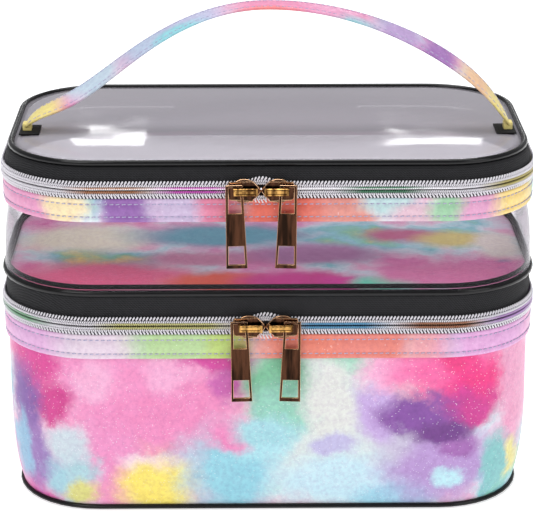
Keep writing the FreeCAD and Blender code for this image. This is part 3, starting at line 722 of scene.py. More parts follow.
# Each pool of dye is (hex, centre, reach), in millimetres; a later pool lies over an earlier one.
WALL_POOLS = [
    ("#D2DEDA", (30, FRONT, 50), (62, 50, 60)),
    ("#E884B6", (-50, FRONT, 52), (46, 46, 30)),
    ("#EA8CBC", (-80, FRONT, 70), (30, 40, 20)),
    ("#E78ABC", (-70, FRONT, 24), (16, 30, 24)),
    ("#EDA3CA", (-44, FRONT, 66), (12, 20, 9)),
    ("#EDA8CC", (-78, FRONT, 62), (11, 20, 10)),
    ("#F0D3E2", (-56, FRONT, 24), (13, 20, 6)),
    ("#D63C8E", (-108, FRONT + 8, 70), (12, 30, 18)),
    ("#CC3486", (-99, FRONT + 4, 51), (11, 26, 9)),
    ("#75489A", (-112, FRONT + 14, 46), (9, 26, 20)),
    ("#9470B2", (-107, FRONT + 10, 22), (8, 26, 18)),
    ("#86B4D2", (-114, FRONT + 22, 24), (6, 12, 20)),
    ("#C3D2DA", (-92, FRONT, 32), (11, 28, 11)),
    ("#9CCAD6", (-97, FRONT + 2, 14), (9, 24, 12)),
    ("#A4CCD4", (-86, FRONT, 20), (9, 28, 9)),
    ("#D6D47C", (-86, FRONT, 8), (9, 30, 8)),
    ("#F4E066", (-52, FRONT, 11), (18, 30, 15)),
    ("#CE3F96", (-24, FRONT, 73), (15, 20, 6)),
    ("#C65CA8", (-20, FRONT, 62), (8, 20, 9)),
    ("#8CCBDA", (-18, FRONT, 18), (22, 30, 24)),
    ("#A6DCE4", (-4, FRONT, 36), (14, 30, 12)),
    ("#E680B4", (-18, FRONT, 38), (11, 20, 8)),
    ("#78C298", (4, FRONT, 64), (14, 26, 18)),
    ("#8CCBB4", (6, FRONT, 52), (14, 22, 13)),
    ("#9CD2DA", (-2, FRONT, 42), (16, 22, 9)),
    ("#BFE0EA", (36, FRONT, 14), (34, 30, 16)),
    ("#98CFE0", (58, FRONT, 6), (20, 30, 8)),
    ("#98D6BC", (35, FRONT, 73), (10, 20, 7)),
    ("#D9DCD6", (28, FRONT, 54), (12, 20, 18)),
    ("#B9B4DA", (29, FRONT, 34), (9, 16, 6)),
    ("#BFA3D8", (49, FRONT, 50), (12, 24, 16)),
    ("#F0A6CC", (56, FRONT, 70), (16, 24, 10)),
    ("#F0609E", (82, FRONT, 66), (26, 30, 18)),
    ("#EA2A7E", (92, FRONT, 58), (16, 26, 14)),
    ("#E8307C", (84, FRONT, 74), (10, 26, 8)),
    ("#B08FC8", (78, FRONT, 22), (28, 30, 22)),
    ("#C8308A", (88, FRONT, 50), (16, 24, 9)),
    ("#7C4497", (66, FRONT, 48), (18, 24, 8)),
    ("#68307F", (78, FRONT, 40), (14, 24, 7)),
    ("#9A5FA8", (86, FRONT, 31), (10, 24, 6)),
    ("#B8E4EC", (81, FRONT, 14), (8, 16, 6)),
    ("#E596BA", (112, FRONT + 14, 52), (10, 30, 34)),
    ("#7CC0BE", (104, FRONT + 7, 16), (7, 20, 16)),
    ("#E3DA84", (113, FRONT + 16, 16), (5, 14, 12)),
]
# Down the middle of each band, from left to right; a band is narrow, so its pools reach past both edges.
LOWER_BAND_POOLS = [
    ("#D9A6D2", (-104, -60, 82), (20, 40, 30)),
    ("#DCCAD8", (-74, -70, 82), (20, 40, 30)),
    ("#AFCF92", (-40, -70, 82), (22, 40, 30)),
    ("#B2CC6E", (-18, -70, 82), (10, 40, 30)),
    ("#E07A66", (20, -70, 82), (30, 40, 30)),
    ("#DF7C70", (46, -70, 82), (18, 40, 30)),
    ("#E29AA0", (70, -70, 82), (12, 40, 30)),
    ("#DBA2D2", (98, -62, 82), (22, 40, 30)),
]
UPPER_BAND_POOLS = [
    ("#E296BC", (-104, -60, 143), (18, 40, 30)),
    ("#F4DFAE", (-88, -66, 145), (11, 40, 8)),
    ("#8A5CA2", (-61, -70, 143), (13, 40, 30)),
    ("#C4B2D0", (-38, -70, 143), (14, 40, 30)),
    ("#D87A96", (-22, -70, 143), (9, 40, 30)),
    ("#D8604E", (8, -70, 143), (24, 40, 30)),
    ("#D88A7E", (34, -70, 141), (14, 40, 30)),
    ("#B4D2D2", (52, -70, 146), (13, 40, 7)),
    ("#D8B4C2", (64, -70, 140), (12, 40, 6)),
    ("#98C8A0", (78, -70, 144), (9, 40, 12)),
    ("#DC9CC0", (92, -66, 143), (10, 40, 30)),
    ("#F7D680", (108, -56, 143), (10, 40, 30)),
]
FLOOR_POOLS = [
    ("#F0688E", (-76, -50, 105), (44, 22, 20)),
    ("#F0E6C8", (-84, 2, 105), (32, 20, 20)),
    ("#5C9EAE", (-20, 6, 105), (44, 17, 20)),
    ("#D98CAA", (-30, -26, 105), (30, 9, 20)),
    ("#E8604A", (-22, -56, 105), (26, 12, 20)),
    ("#D83C90", (14, -56, 105), (28, 12, 20)),
    ("#D93A98", (32, -60, 105), (10, 8, 20)),
    ("#B47AA6", (22, -20, 105), (34, 14, 20)),
    ("#6EDCB8", (50, -60, 105), (14, 9, 20)),
    ("#E880AE", (84, -48, 105), (34, 16, 20)),
    ("#C04C7C", (64, 6, 105), (20, 10, 20)),
    ("#D8C468", (86, 0, 105), (18, 12, 20)),
    ("#EDE0D2", (106, -8, 105), (12, 20, 20)),
]
HANDLE_POOLS = [
    ("#F0DE86", (-106, -14, 172), (16, 30, 14)),
    ("#BFD3E2", (-84, -12, 190), (20, 30, 12)),
    ("#B6C6DE", (-60, -12, 206), (24, 30, 12)),
    ("#BFC2E0", (-34, -12, 216), (20, 30, 10)),
    ("#EC8FB4", (6, -14, 222), (28, 30, 9)),
    ("#8FD3DC", (-40, -20, 210), (30, 7, 6)),
    ("#F07E7A", (2, -22, 218), (16, 6, 5)),
    ("#E79CC0", (34, -12, 217), (18, 30, 8)),
    ("#86D0D6", (32, -20, 211), (16, 7, 6)),
    ("#B79CCB", (56, -12, 206), (14, 30, 9)),
    ("#A274B4", (74, -12, 196), (11, 30, 9)),
    ("#F0C49A", (92, -12, 184), (13, 30, 11)),
    ("#F0DE86", (106, -14, 172), (11, 30, 12)),
]


# Each tint of the joining heads is (hex, from X, to X), in millimetres.
LOWER_TINTS = [
    ("#7FB08A", -118, -100),
    ("#C9C47A", -72, -20),
    ("#4F9BC4", 12, 48),
    ("#A5683C", 60, 92),
    ("#B58CC8", 96, 120),
]
UPPER_TINTS = [
    ("#B0703C", -84, -52),
    ("#D24FC0", -46, -18),
    ("#2F7D52", 34, 64),
    ("#BDB060", 96, 120),
]


def shared_materials():
    """Every finish of the case, made once."""
    colours = bpy.context.scene.case_colours
    return {
        "wall": tie_dye("tie_dye_vinyl_wall", WALL_POOLS),
        "lower_band": tie_dye("tie_dye_vinyl_lower_band", LOWER_BAND_POOLS, reach=6.5, spacing=11.0,
                              glitter=0.02),
        "upper_band": tie_dye("tie_dye_vinyl_upper_band", UPPER_BAND_POOLS, reach=6.5, spacing=11.0,
                              glitter=0.02),
        "floor": tie_dye("tie_dye_vinyl_floor", FLOOR_POOLS, reach=9.0, spacing=24.0, glitter=0.02),
        "strap": tie_dye("tie_dye_vinyl_strap", HANDLE_POOLS, reach=4.0, spacing=18.0, glitter=0.02),
        "tape": woven("polyester_zip_tape", colours.tape),
        "lining": woven("polyester_lining", colours.lining, pitch=1.2),
        "binding": woven("polyester_binding", colours.edging, pitch=0.8, sheen=0.05),
        "edging": soft_vinyl_cord("soft_vinyl_edging", colours.edging),
        "clear_wall": clear_vinyl("clear_vinyl_wall", tint="#FAF9FB", film="#B9B6BC", mirror=0.7, haze=0.015,
                                  power=4.0, wave=0.35),
        "clear_lid": clear_vinyl("clear_vinyl_lid", tint="#F4F3F6", film="#B0ACB3", mirror=0.9, haze=0.04,
                                 power=1.3, wave=0.5),
        # The dark streaks of each plating below are painted reflection.
        "metal": plated("gold_plated_zinc", colours.plating, "#B98A5C", streak=0.5),
        "bright": plated("bright_gold_plate", "#CFA05C", "#4E3319", roughness=0.12),
        # Plating painted near black for the flat faces of sliders and pulls: a painted dark reflection.
        "painted_dark_face": plated("gold_plate_painted_dark_face", "#211610", "#4E3224", roughness=0.18),
        "lower_teeth": coil_nylon("nylon_coil_lower", colours.teeth, LOWER_JOINT, LOWER_TINTS),
        "upper_teeth": coil_nylon("nylon_coil_upper", colours.teeth, UPPER_JOINT, UPPER_TINTS),
        "thread": spun_thread("polyester_thread", colours.thread),
        "board": pressed_board("pressed_board"),
    }


MATERIALS = {}


def finish_for(name):
    """A material by its short name, made the first time one is asked for."""
    if not MATERIALS:
        MATERIALS.update(shared_materials())
    return MATERIALS[name]


# ---------------------------------------------------------------- pieces


def lower_tier():
    """Soft wall, its lining, and the bottom with its edging."""
    sizes = bpy.context.scene.case_sizes
    foot_inset = inset_of("bottom_panel") - 0.9 * MM
    levels = 20
    outer = []
    for step in range(levels + 1):
        share = (step / levels) ** 1.5
        swell = sizes.wall_swell * math.sin(math.pi * share) ** 0.8
        taper = 0.25 * (1 - share) + 0.75 * (1 - share) ** 8
        inset = LOWER_WALL_INSET + (foot_inset - LOWER_WALL_INSET) * taper - swell
        outer.append((inset, WALL_FOOT + (LOWER_BAND_TOP - WALL_FOOT) * share))
    thickness = 0.8 * MM
    inner = [(inset + thickness, height) for inset, height in (outer[-1], outer[levels // 2], outer[0])]
    wall = sweep_round("lower_wall_skin", outer + inner, smooth=60)
    crumple(wall, 0.5 * MM, 34 * MM, 3.0, lambda point: seam_distance(point.z, WALL_FOOT, LOWER_BAND_LOW))
    dress(wall, "case", finish_for("wall"), "tie_dye_leather", "lower_side_wall")

    low, high = size_of("lower_wall_lining")
    face, back = 0.9 * MM, 1.3 * MM
    profile = [(foot_inset + face, low.z), (LOWER_WALL_INSET + face, high.z),
               (LOWER_WALL_INSET + back, high.z), (foot_inset + back, low.z)]
    lining = sweep_round("lower_lining_skin", profile, smooth=30)
    dress(lining, "case", finish_for("lining"), "lining_fabric", "lower_wall_lining")

    plate("bottom_skin", "bottom_panel", inset_of("bottom_panel"), "case", "wall", "tie_dye_leather")
    plate("bottom_lining_skin", "bottom_lining", inset_of("bottom_lining"), "case", "lining", "lining_fabric")
    edging_cord("bottom_edging", "bottom_piping", foot_inset - 0.5 * MM, "case", 12)
    binding_ring("lower_binding_skin", "lower_inner_binding", inset_of("lower_inner_binding"), 1.1 * MM, "case")


def seam_distance(height, low, high):
    """0 at two seams, rising to 1 between them."""
    share = min(1.0, max(0.0, (height - low) / (high - low)))
    return math.sin(math.pi * share)


def plate(name, node, inset, body, finish, slot, dome=0.0):
    """A flat sheet in plan outline with softly turned edges, crowned by a little if asked."""
    low, high = size_of(node)
    thick = high.z - low.z
    turned = 1.2 * MM
    profile = [
        (inset + turned, low.z),
        (inset + thick * 0.3, low.z + thick * 0.1),
        (inset, low.z + thick * 0.5),
        (inset + thick * 0.3, low.z + thick * 0.9),
        (inset + turned, high.z),
        (inset + 8 * MM, high.z + dome * 0.5),
        (inset + 20 * MM, high.z + dome * 0.9),
        (inset + 34 * MM, high.z + dome),
    ]
    piece = sweep_round(name, profile, closed=False, smooth=50, fill=True)
    close_underside(piece)
    dress(piece, body, finish_for(finish), slot, node)


def close_underside(piece):
    """Fill the open first ring of a plate."""
    open_piece(piece)
    select_edges(lambda edge: edge.is_boundary)
    bpy.ops.mesh.edge_face_add()
    bpy.ops.mesh.select_all(action="SELECT")
    bpy.ops.mesh.normals_make_consistent(inside=False)
    bpy.ops.mesh.select_mode(type="VERT")
    bpy.ops.object.mode_set(mode="OBJECT")


def binding_ring(name, node, inset, thickness, body):
    """A folded binding strip sewn over a seam inside the case."""
    low, high = size_of(node)
    ring = sweep_round(name, round_profile(inset, low.z, thickness, high.z - low.z), smooth=50)
    dress(ring, body, finish_for("binding"), "woven_tape", node)


def edging_cord(name, node, inset, body, steps):
    """A corded edging sewn round a seam, as thick as its node is high."""
    low, high = size_of(node)
    radius = (high.z - low.z) / 2
    cord = sweep_round(name, cord_profile(inset, low.z + radius, radius, steps), smooth=80)
    dress(cord, body, finish_for("edging"), "black_edging", node)


def stitched_band(name, node, inset, body, finish):
    """A folded tie-dye band with soft edges and two sewn rows of stitches sunk into it."""
    sizes = bpy.context.scene.case_sizes
    low, high = size_of(node)
    thick = 1.1 * MM
    rows = (low.z + sizes.stitch_inset, high.z - sizes.stitch_inset)
    dip = 0.22 * MM
    dip_reach, dip_floor = 0.8 * MM, 0.25 * MM
    face = [(inset + 0.45 * MM, low.z), (inset + 0.12 * MM, low.z + 0.25 * MM), (inset, low.z + 0.8 * MM)]
    for row in rows:
        face += [(inset, row - dip_reach), (inset + dip, row - dip_floor),
                 (inset + dip, row + dip_floor), (inset, row + dip_reach)]
        if row is rows[0]:
            face.append((inset - 0.18 * MM, (low.z + high.z) / 2))
    face += [(inset, high.z - 0.8 * MM), (inset + 0.12 * MM, high.z - 0.25 * MM), (inset + 0.45 * MM, high.z),
             (inset + thick, high.z), (inset + thick, low.z)]
    band = sweep_round(name, face, smooth=50)
    crumple(band, 0.12 * MM, 9 * MM, 7.0)
    dress(band, body, finish_for(finish), "tie_dye_leather", node)

    stitch = stitch_model(name + "_stitch", STITCH_THICKNESS)
    # Each stitch rises a little towards the next, as a lockstitch does.
    rise = Vector((0, 0, 0.09))
    places = []
    for row in rows:
        for point, outward, travel in walk_outline(inset + dip - 0.08 * MM, sizes.stitch_pitch):
            along = (travel + rise).normalized()
            places.append(axes_matrix(point + Vector((0, 0, row)), along, outward.cross(along), outward))
    sewn = strew(name + "_stitches", stitch, places)
    dress(sewn, body, finish_for("thread"), "tie_dye_leather")


def stitch_model(name, height):
    """One stitch, lying along X."""
    length = bpy.context.scene.case_sizes.stitch_pitch * STITCH_SHARE
    return rounded_bar(name, length, STITCH_THICKNESS, height, 0.14 * MM)


def bands():
    """The stitched bands below each zip."""
    stitched_band("lower_band_skin", "lower_zip_band", LOWER_BAND_INSET, "case", "lower_band")
    stitched_band("upper_band_skin", "upper_zip_band", UPPER_BAND_INSET, "deck", "upper_band")


def zip_teeth(tier, place, node, inset, body, side):
    """One row of coil teeth: slanted loops along its outer edge, strands across it, and heads at the joint.

    side is 1 for the row above the joint and -1 for the row below it.
    """
    sizes = bpy.context.scene.case_sizes
    name = tier + "_teeth_" + place
    low, high = size_of(node)
    outer_edge, joint_edge = (high.z, low.z) if side > 0 else (low.z, high.z)
    hinge_gap = 92 * MM
    slant = Vector((0.5, 0, side * 0.87))
    loop = rounded_bar(name + "_loop", 2.0 * MM, 0.8 * MM, 0.9 * MM, 0.28 * MM)
    strand = rounded_bar(name + "_strand", 1.05 * MM, 0.6 * MM, 1.0 * MM, 0.2 * MM)
    head = rounded_bar(name + "_head", 1.2 * MM, 0.52 * MM, 1.2 * MM, 0.17 * MM)
    rows = (
        ("_loops", loop, sizes.tooth_pitch, inset + 0.75 * MM, outer_edge - side * 1.0 * MM, (node,)),
        ("_strands", strand, sizes.tooth_pitch * 0.62, inset + 0.35 * MM, joint_edge + side * 1.42 * MM, ()),
        ("_heads", head, sizes.tooth_pitch * 0.52, inset + 0.5 * MM, joint_edge + side * 0.36 * MM, ()),
    )
    for part, model, pitch, depth, level, nodes in rows:
        matrices = []
        for point, outward, travel in walk_outline(depth, pitch, hinge_gap):
            along = (travel * slant.x + Vector((0, 0, slant.z))).normalized()
            matrices.append(axes_matrix(point + Vector((0, 0, level)), along, outward.cross(along), outward))
        row = strew(name + part, model, matrices)
        spread_between_sliders(row, tier, side)
        dress(row, body, finish_for(tier + "_teeth"), "zip_teeth", *nodes)


def spread_between_sliders(row, tier, side):
    """Bow a row of teeth away from the joint where a pair of sliders holds it open."""
    middle = size_of(tier + "_left_slider")[1].x + 0.1 * MM
    reach = 9.5 * MM
    rise = 2.1 * MM
    for vertex in row.data.vertices:
        distance = abs(vertex.co.x - middle) / reach
        if vertex.co.y <= 0 and distance < 1:
            vertex.co.z += side * rise * (math.cos(math.pi * distance) + 1) / 2


def tape_ring(name, node, inset, body):
    """A flat ring of woven tape."""
    low, high = size_of(node)
    thickness = 0.7 * MM
    ring = sweep_round(name, [(inset, low.z), (inset, (low.z + high.z) / 2), (inset, high.z),
                              (inset + thickness, high.z), (inset + thickness, low.z)], smooth=30)
    dress(ring, body, finish_for("tape"), "woven_tape", node)


def zips():
    """Both zips: tapes and four rows of teeth."""
    zip_teeth("lower", "below", "lower_zip_case_teeth", LOWER_TEETH_INSET, "case", -1)
    zip_teeth("lower", "above", "lower_zip_deck_teeth", LOWER_TEETH_INSET, "deck", 1)
    zip_teeth("upper", "below", "upper_zip_deck_teeth", UPPER_TEETH_INSET, "deck", -1)
    zip_teeth("upper", "above", "upper_zip_lid_teeth", UPPER_TEETH_INSET, "lid", 1)
    tape_ring("lower_tape_below", "lower_zip_case_tape", LOWER_TAPE_INSET, "case")
    tape_ring("lower_tape_above", "deck_tape", LOWER_TAPE_INSET, "deck")
    tape_ring("upper_tape_below", "upper_zip_deck_tape", UPPER_TAPE_INSET, "deck")
    lid_tape_ring()


def lid_tape_ring():
    """The lid's tape, which curls in from the teeth to the lid's edging."""
    low, high = size_of("lid_tape")
    thickness = 0.7 * MM
    outer = [(UPPER_TAPE_INSET, low.z), (UPPER_TAPE_INSET, UPPER_CHAIN_TOP),
             (UPPER_TAPE_INSET + 0.45 * MM, UPPER_CHAIN_TOP + 2.2 * MM),
             (UPPER_TAPE_INSET + 1.15 * MM, UPPER_CHAIN_TOP + 4.2 * MM), (UPPER_TAPE_INSET + 1.95 * MM, high.z)]
    inner = [(inset + thickness, height) for inset, height in reversed(outer)]
    ring = sweep_round("upper_tape_above", outer + inner, smooth=60)
    dress(ring, "lid", finish_for("tape"), "woven_tape", "lid_tape")


def edgings():
    """The corded edgings of the deck and the lid, and the inner bindings."""
    edging_cord("deck_edging", "deck_piping", DECK_EDGING_INSET, "deck", 16)
    edging_cord("lid_edging", "lid_piping", LID_EDGING_INSET, "lid", 16)
    binding_ring("deck_binding_skin", "deck_inner_binding", DECK_EDGING_INSET + 0.6 * MM, 1.1 * MM, "deck")
    binding_ring("lid_binding_skin", "lid_inner_binding", LID_EDGING_INSET + 0.2 * MM, 1.5 * MM, "lid")


def clear_sheets():
    """The clear wall of the upper tier and the crowned clear lid."""
    sheet = 0.5 * MM
    low, high = size_of("upper_clear_wall")
    lean_top = 0.74
    lean_reach = 2.6 * MM
    outer = []
    for share in (0.0, 0.06, 0.15, 0.3, 0.45, 0.6, lean_top, 0.9, 1.0):
        lean = min(1.0, share / lean_top)
        bulge = 0.7 * MM * math.sin(math.pi * lean)
        outer.append((CLEAR_WALL_INSET + lean_reach * lean - bulge, low.z + (high.z - low.z) * share))
    inner = [(inset + sheet, height) for inset, height in reversed(outer)]
    wall = sweep_round("clear_wall_skin", outer + inner, smooth=70)
    crumple(wall, 0.9 * MM, 46 * MM, 11.0, lambda point: seam_distance(point.z, low.z, UPPER_BAND_LOW))
    dress(wall, "deck", finish_for("clear_wall"), "clear_sheet", "upper_clear_wall")

    low, high = size_of("lid_clear_panel")
    edge = low.z + 0.05 * MM
    crown = high.z - 0.55 * MM
    crown_reach = 30 * MM
    profile = [(LID_SHEET_INSET, edge)]
    for share in (0.12, 0.28, 0.5, 0.75, 1.0):
        rise = math.sin(share * math.pi / 2)
        profile.append((LID_SHEET_INSET + crown_reach * share, edge + (crown - edge) * rise))
    lid = sweep_round("clear_lid_skin", profile, closed=False, smooth=70, fill=True)
    apply_modifier(lid, "SOLIDIFY", thickness=sheet, offset=1.0)
    dress(lid, "lid", finish_for("clear_lid"), "clear_sheet", "lid_clear_panel")


def deck_floor():
    """The deck between the tiers: printed floor above, dark lining below. The boards stay plain."""
    plate("deck_floor_skin", "deck_panel", DECK_FLOOR_INSET, "deck", "floor", "tie_dye_leather", dome=0.9 * MM)
    plate("deck_lining_skin", "deck_lining", DECK_FLOOR_INSET, "deck", "lining", "lining_fabric")
    for node in ("deck_board", "bottom_board"):
        board = frame["nodes"][node]
        board.data.materials.clear()
        board.data.materials.append(finish_for("board"))


def facing(side, matrix):
    """Turn a slider model half round for the slider on the left."""
    return matrix if side > 0 else matrix @ Matrix.Rotation(math.pi, 4, "Y")


def leaf_outline(share):
    """Half height of a slider plate along its length, from tip to tail, as a share of its widest."""
    shoulder, waist = 0.45, 0.62
    if share < shoulder:
        reach = math.sin(share / shoulder * math.pi / 2) ** 0.8
    elif share < waist:
        reach = 1.0
    else:
        reach = 1.0 - 0.24 * math.sin(min(1.0, (share - waist) / 0.2) * math.pi / 2) ** 2
    return reach * 0.72 if share > 0.97 else reach


def leaf_plate(name, length, half_height, low, high, round_off):
    """A slider plate between two depths: pointed tip at X 0, full shoulder, blunt tail."""
    start_object()
    bpy.ops.mesh.primitive_circle_add(vertices=32, radius=1, fill_type="NGON", rotation=(math.pi / 2, 0, 0))
    bpy.ops.object.transform_apply(rotation=True)
    bpy.ops.object.mode_set(mode="EDIT")
    shell = bmesh.from_edit_mesh(bpy.context.object.data)
    for vertex in shell.verts:
        turn = math.atan2(vertex.co.z, vertex.co.x)
        share = (1 + math.cos(turn)) / 2
        height = half_height * leaf_outline(share)
        vertex.co = (length * share, 0, height if vertex.co.z >= 0 else -height)
    nowhere = 1e-7
    for vertex in shell.verts:
        if abs(vertex.co.x) < nowhere:
            vertex.co.z = 0
        elif abs(vertex.co.x - length) < nowhere:
            vertex.co.z *= 0.2
    bmesh.update_edit_mesh(bpy.context.object.data)
    bpy.ops.mesh.select_all(action="SELECT")
    bpy.ops.mesh.extrude_region_move(TRANSFORM_OT_translate={"value": (0, high - low, 0)})
    bpy.ops.mesh.select_all(action="SELECT")
    bpy.ops.transform.translate(value=(0, low, 0))
    bpy.ops.mesh.remove_doubles(threshold=0.02 * MM)
    bpy.ops.mesh.normals_make_consistent(inside=False)
    piece = finish_object(name, 45)
    apply_modifier(piece, "BEVEL", width=round_off, segments=2, limit_method="ANGLE",
                   angle_limit=math.radians(50))
    return piece


def join(name, pieces):
    """Join several pieces into one."""
    start_object()
    for piece in pieces:
        piece.select_set(True)
    bpy.context.view_layer.objects.active = pieces[0]
    bpy.ops.object.join()
    joined = bpy.context.object
    joined.name = name
    joined.data.name = name
    return joined


def plain_block(name, low, high, round_off=0.0, segments=2, smooth=45):
    """A block between two corners with rounded edges."""
    start_object()
    low, high = Vector(low), Vector(high)
    bpy.ops.mesh.primitive_cube_add(size=1, location=(low + high) / 2)
    bpy.ops.object.mode_set(mode="EDIT")
    bpy.ops.transform.resize(value=tuple(high - low), center_override=tuple((low + high) / 2))
    if round_off:
        bpy.ops.mesh.bevel(offset=round_off, segments=segments)
    return finish_object(name, smooth)


def slider_model(name):
    """A slider body at its own origin: the tip at X 0, the joint at Z 0, the teeth's face at Y 0."""
    front = leaf_plate(name + "_front", 14.15 * MM, 5.25 * MM, -1.35 * MM, -0.32 * MM, 0.25 * MM)
    back = leaf_plate(name + "_back", 14.0 * MM, 3.75 * MM, 2.9 * MM, 3.8 * MM, 0.2 * MM)
    web = plain_block(name + "_web", (1.6 * MM, -0.5 * MM, -0.1 * MM), (12.6 * MM, 3.0 * MM, 0.1 * MM))
    # Two raised rails follow the plate's edges, closing in a little towards the tail.
    bend, closing = 6 * MM, 0.09
    rails = []
    for side in (-1, 1):
        rail = plain_block(name + "_rail", (3.4 * MM, -1.75 * MM, -0.35 * MM),
                           (13.2 * MM, -1.2 * MM, 0.35 * MM), 0.2 * MM)
        for vertex in rail.data.vertices:
            vertex.co.z += side * (4.35 * MM - closing * max(0.0, vertex.co.x - bend))
        rails.append(rail)
    return join(name, [front, back, web] + rails)


def bridge_model(name):
    """The bridge: a bar along X on two legs, crowned and slotted on its face."""
    foot, roof, crown = -1.42 * MM, -3.42 * MM, -4.28 * MM
    left, right = 1.35 * MM, 11.9 * MM
    leg = 0.9 * MM
    near = plain_block(name + "_near", (left, crown, -1.65 * MM), (left + leg, foot, 1.65 * MM))
    far = plain_block(name + "_far", (right - leg, crown * 0.86, -1.65 * MM), (right, foot, 1.65 * MM),
                      0.12 * MM)
    bar = plain_block(name + "_bar", (left, crown, -1.7 * MM), (right, roof, 1.7 * MM))
    open_piece(bar)
    select_edges(lambda edge: all(vertex.co.y < (crown + roof) / 2 for vertex in edge.verts))
    bpy.ops.mesh.bevel(offset=0.72 * MM, segments=5)
    bpy.ops.mesh.select_mode(type="FACE")
    bpy.ops.mesh.select_all(action="DESELECT")
    shell = bmesh.from_edit_mesh(bar.data)
    face = max((one for one in shell.faces if one.normal.y < -0.9), key=lambda one: one.calc_area())
    face.select_set(True)
    bmesh.update_edit_mesh(bar.data)
    bpy.ops.mesh.inset(thickness=0.3 * MM, depth=0)
    bpy.ops.mesh.inset(thickness=0.1 * MM, depth=-0.5 * MM)
    bpy.ops.mesh.select_mode(type="VERT")
    finish_object(name + "_bar", 45)
    return join(name, [near, far, bar])


def pull_model(name):
    """A flat tapered pull with two windows, hung by the upper one; its pivot is at the origin."""
    length = 37.6 * MM
    top, foot = 3.0 * MM, 3.0 * MM - length
    front, back = -3.05 * MM, -1.75 * MM
    # Each row is (height, half width, width of the rim at either side), from the top down.
    rows = [
        (top, 3.7 * MM, 1.35 * MM),
        (1.95 * MM, 3.72 * MM, 1.3 * MM),
        (top - length * 0.335, 4.02 * MM, 1.2 * MM),
        (top - length * 0.73, 4.37 * MM, 1.1 * MM),
        (foot + 1.8 * MM, 4.6 * MM, 1.05 * MM),
        (foot, 4.65 * MM, 1.05 * MM),
    ]
    window_rows = (1, 3)
    start_object()
    bpy.ops.mesh.primitive_grid_add(x_subdivisions=3, y_subdivisions=5, size=2, rotation=(math.pi / 2, 0, 0))
    bpy.ops.object.transform_apply(rotation=True)
    bpy.ops.object.mode_set(mode="EDIT")
    shell = bmesh.from_edit_mesh(bpy.context.object.data)
    for vertex in shell.verts:
        height, half, rim = rows[round((1 - vertex.co.z) / 2 * 5)]
        across = (-half, -half + rim, half - rim, half)[round((vertex.co.x + 1) / 2 * 3)]
        vertex.co = (across, front, height)
    windows = []
    for face in shell.faces:
        middle = face.calc_center_median()
        in_window = any(rows[index + 1][0] < middle.z < rows[index][0] for index in window_rows)
        if abs(middle.x) < 1 * MM and in_window:
            windows.append(face)
    bmesh.ops.delete(shell, geom=windows, context="FACES")
    bmesh.update_edit_mesh(bpy.context.object.data)
    bpy.ops.mesh.select_all(action="SELECT")
    bpy.ops.mesh.extrude_region_move(TRANSFORM_OT_translate={"value": (0, back - front, 0)})
    bpy.ops.mesh.select_all(action="SELECT")
    bpy.ops.mesh.normals_make_consistent(inside=False)
    piece = finish_object(name, 40)
    apply_modifier(piece, "BEVEL", width=0.3 * MM, segments=3, limit_method="ANGLE",
                   angle_limit=math.radians(40))
    return piece


def place_model(model, name, matrix):
    """A finished copy of a model, with its own mesh, its place in the mesh."""
    copy = bpy.data.objects.new(name, model.data.copy())
    copy.data.name = name
    bpy.context.collection.objects.link(copy)
    copy.data.transform(matrix)
    copy.data.update()
    return copy


def sliders():
    """Four sliders, each with its bridge and its hanging pull."""
    body_model = slider_model("slider_model")
    top_model = bridge_model("bridge_model")
    hung_model = pull_model("pull_model")
    pull_lean = math.radians(1.7)
    for tier in ("lower", "upper"):
        for hand, side in (("left", -1), ("right", 1)):
            name = tier + "_" + hand
            low, high = size_of(name + "_slider")
            tip = low.x if side > 0 else high.x
            face = low.y + 1.4 * MM
            matrix = facing(side, Matrix.Translation((tip, face, (low.z + high.z) / 2)))
            body = place_model(body_model, name + "_slider_body", matrix)
            dress(body, name + "_slider", finish_for("metal"), "gold_plate", name + "_slider")
            # The flat faces get darker plating, a painted dark reflection; the pull below gets the same.
            paint_dark_faces(body, finish_for("painted_dark_face"))
            bridge = place_model(top_model, name + "_slider_crown", matrix)
            dress(bridge, name + "_slider", finish_for("bright"), "gold_plate", name + "_slider_bridge")
            pivot = PIVOTS[name + "_pull_swing"]
            lean = Matrix.Rotation(pull_lean * side, 4, "Y")
            hung = place_model(hung_model, name + "_hanging_pull",
                               Matrix.Translation((pivot.x, face, pivot.z)) @ lean)
            dress(hung, name + "_pull", finish_for("metal"), "gold_plate", name + "_pull")
            paint_dark_faces(hung, finish_for("painted_dark_face"))
    for model in (body_model, top_model, hung_model):
        bpy.data.objects.remove(model)


def strap_path(count):
    """The strap's middle from left to right, as (point, outward direction, share from -1 to 1)."""
    pivot = PIVOTS["handle_lean"]
    half_span = size_of("handle_outer_layer")[1].x
    radius = (half_span ** 2 + STRAP_RISE ** 2) / (2 * STRAP_RISE)
    half_angle = math.asin(half_span / radius)
    points = []
    for index in range(count + 1):
        angle = -half_angle + 2 * half_angle * index / count
        up = STRAP_RISE - radius + radius * math.cos(angle) + droop(angle / half_angle)
        points.append(Vector((radius * math.sin(angle), pivot.y + up * math.sin(STRAP_LEAN),
                              pivot.z + up * math.cos(STRAP_LEAN))))
    path = []
    for index, point in enumerate(points):
        travel = (points[min(count, index + 1)] - points[max(0, index - 1)]).normalized()
        path.append((point, travel.cross(STRAP_ACROSS).normalized(), -1 + 2 * index / count))
    return path


def droop(share):
    """How much the soft strap sags from an even arch: it hangs lower on its left than on its right."""
    middle = -1.2 * MM * (1 - share ** 2)
    if share < 0:
        return middle - 12.5 * MM * math.sin(math.pi * share ** 2) * (1 - share ** 6)
    return middle + 10.8 * MM * share ** 4 * (1 - share ** 4)


def twisted(out, share):
    """The strap's outward and crosswise directions, turned as it twists between its ends."""
    turn = math.radians(5 * (1 - share ** 4) + 60 * share ** 2 * (1 - share ** 2))
    return (out * math.cos(turn) - STRAP_ACROSS * math.sin(turn),
            STRAP_ACROSS * math.cos(turn) + out * math.sin(turn))


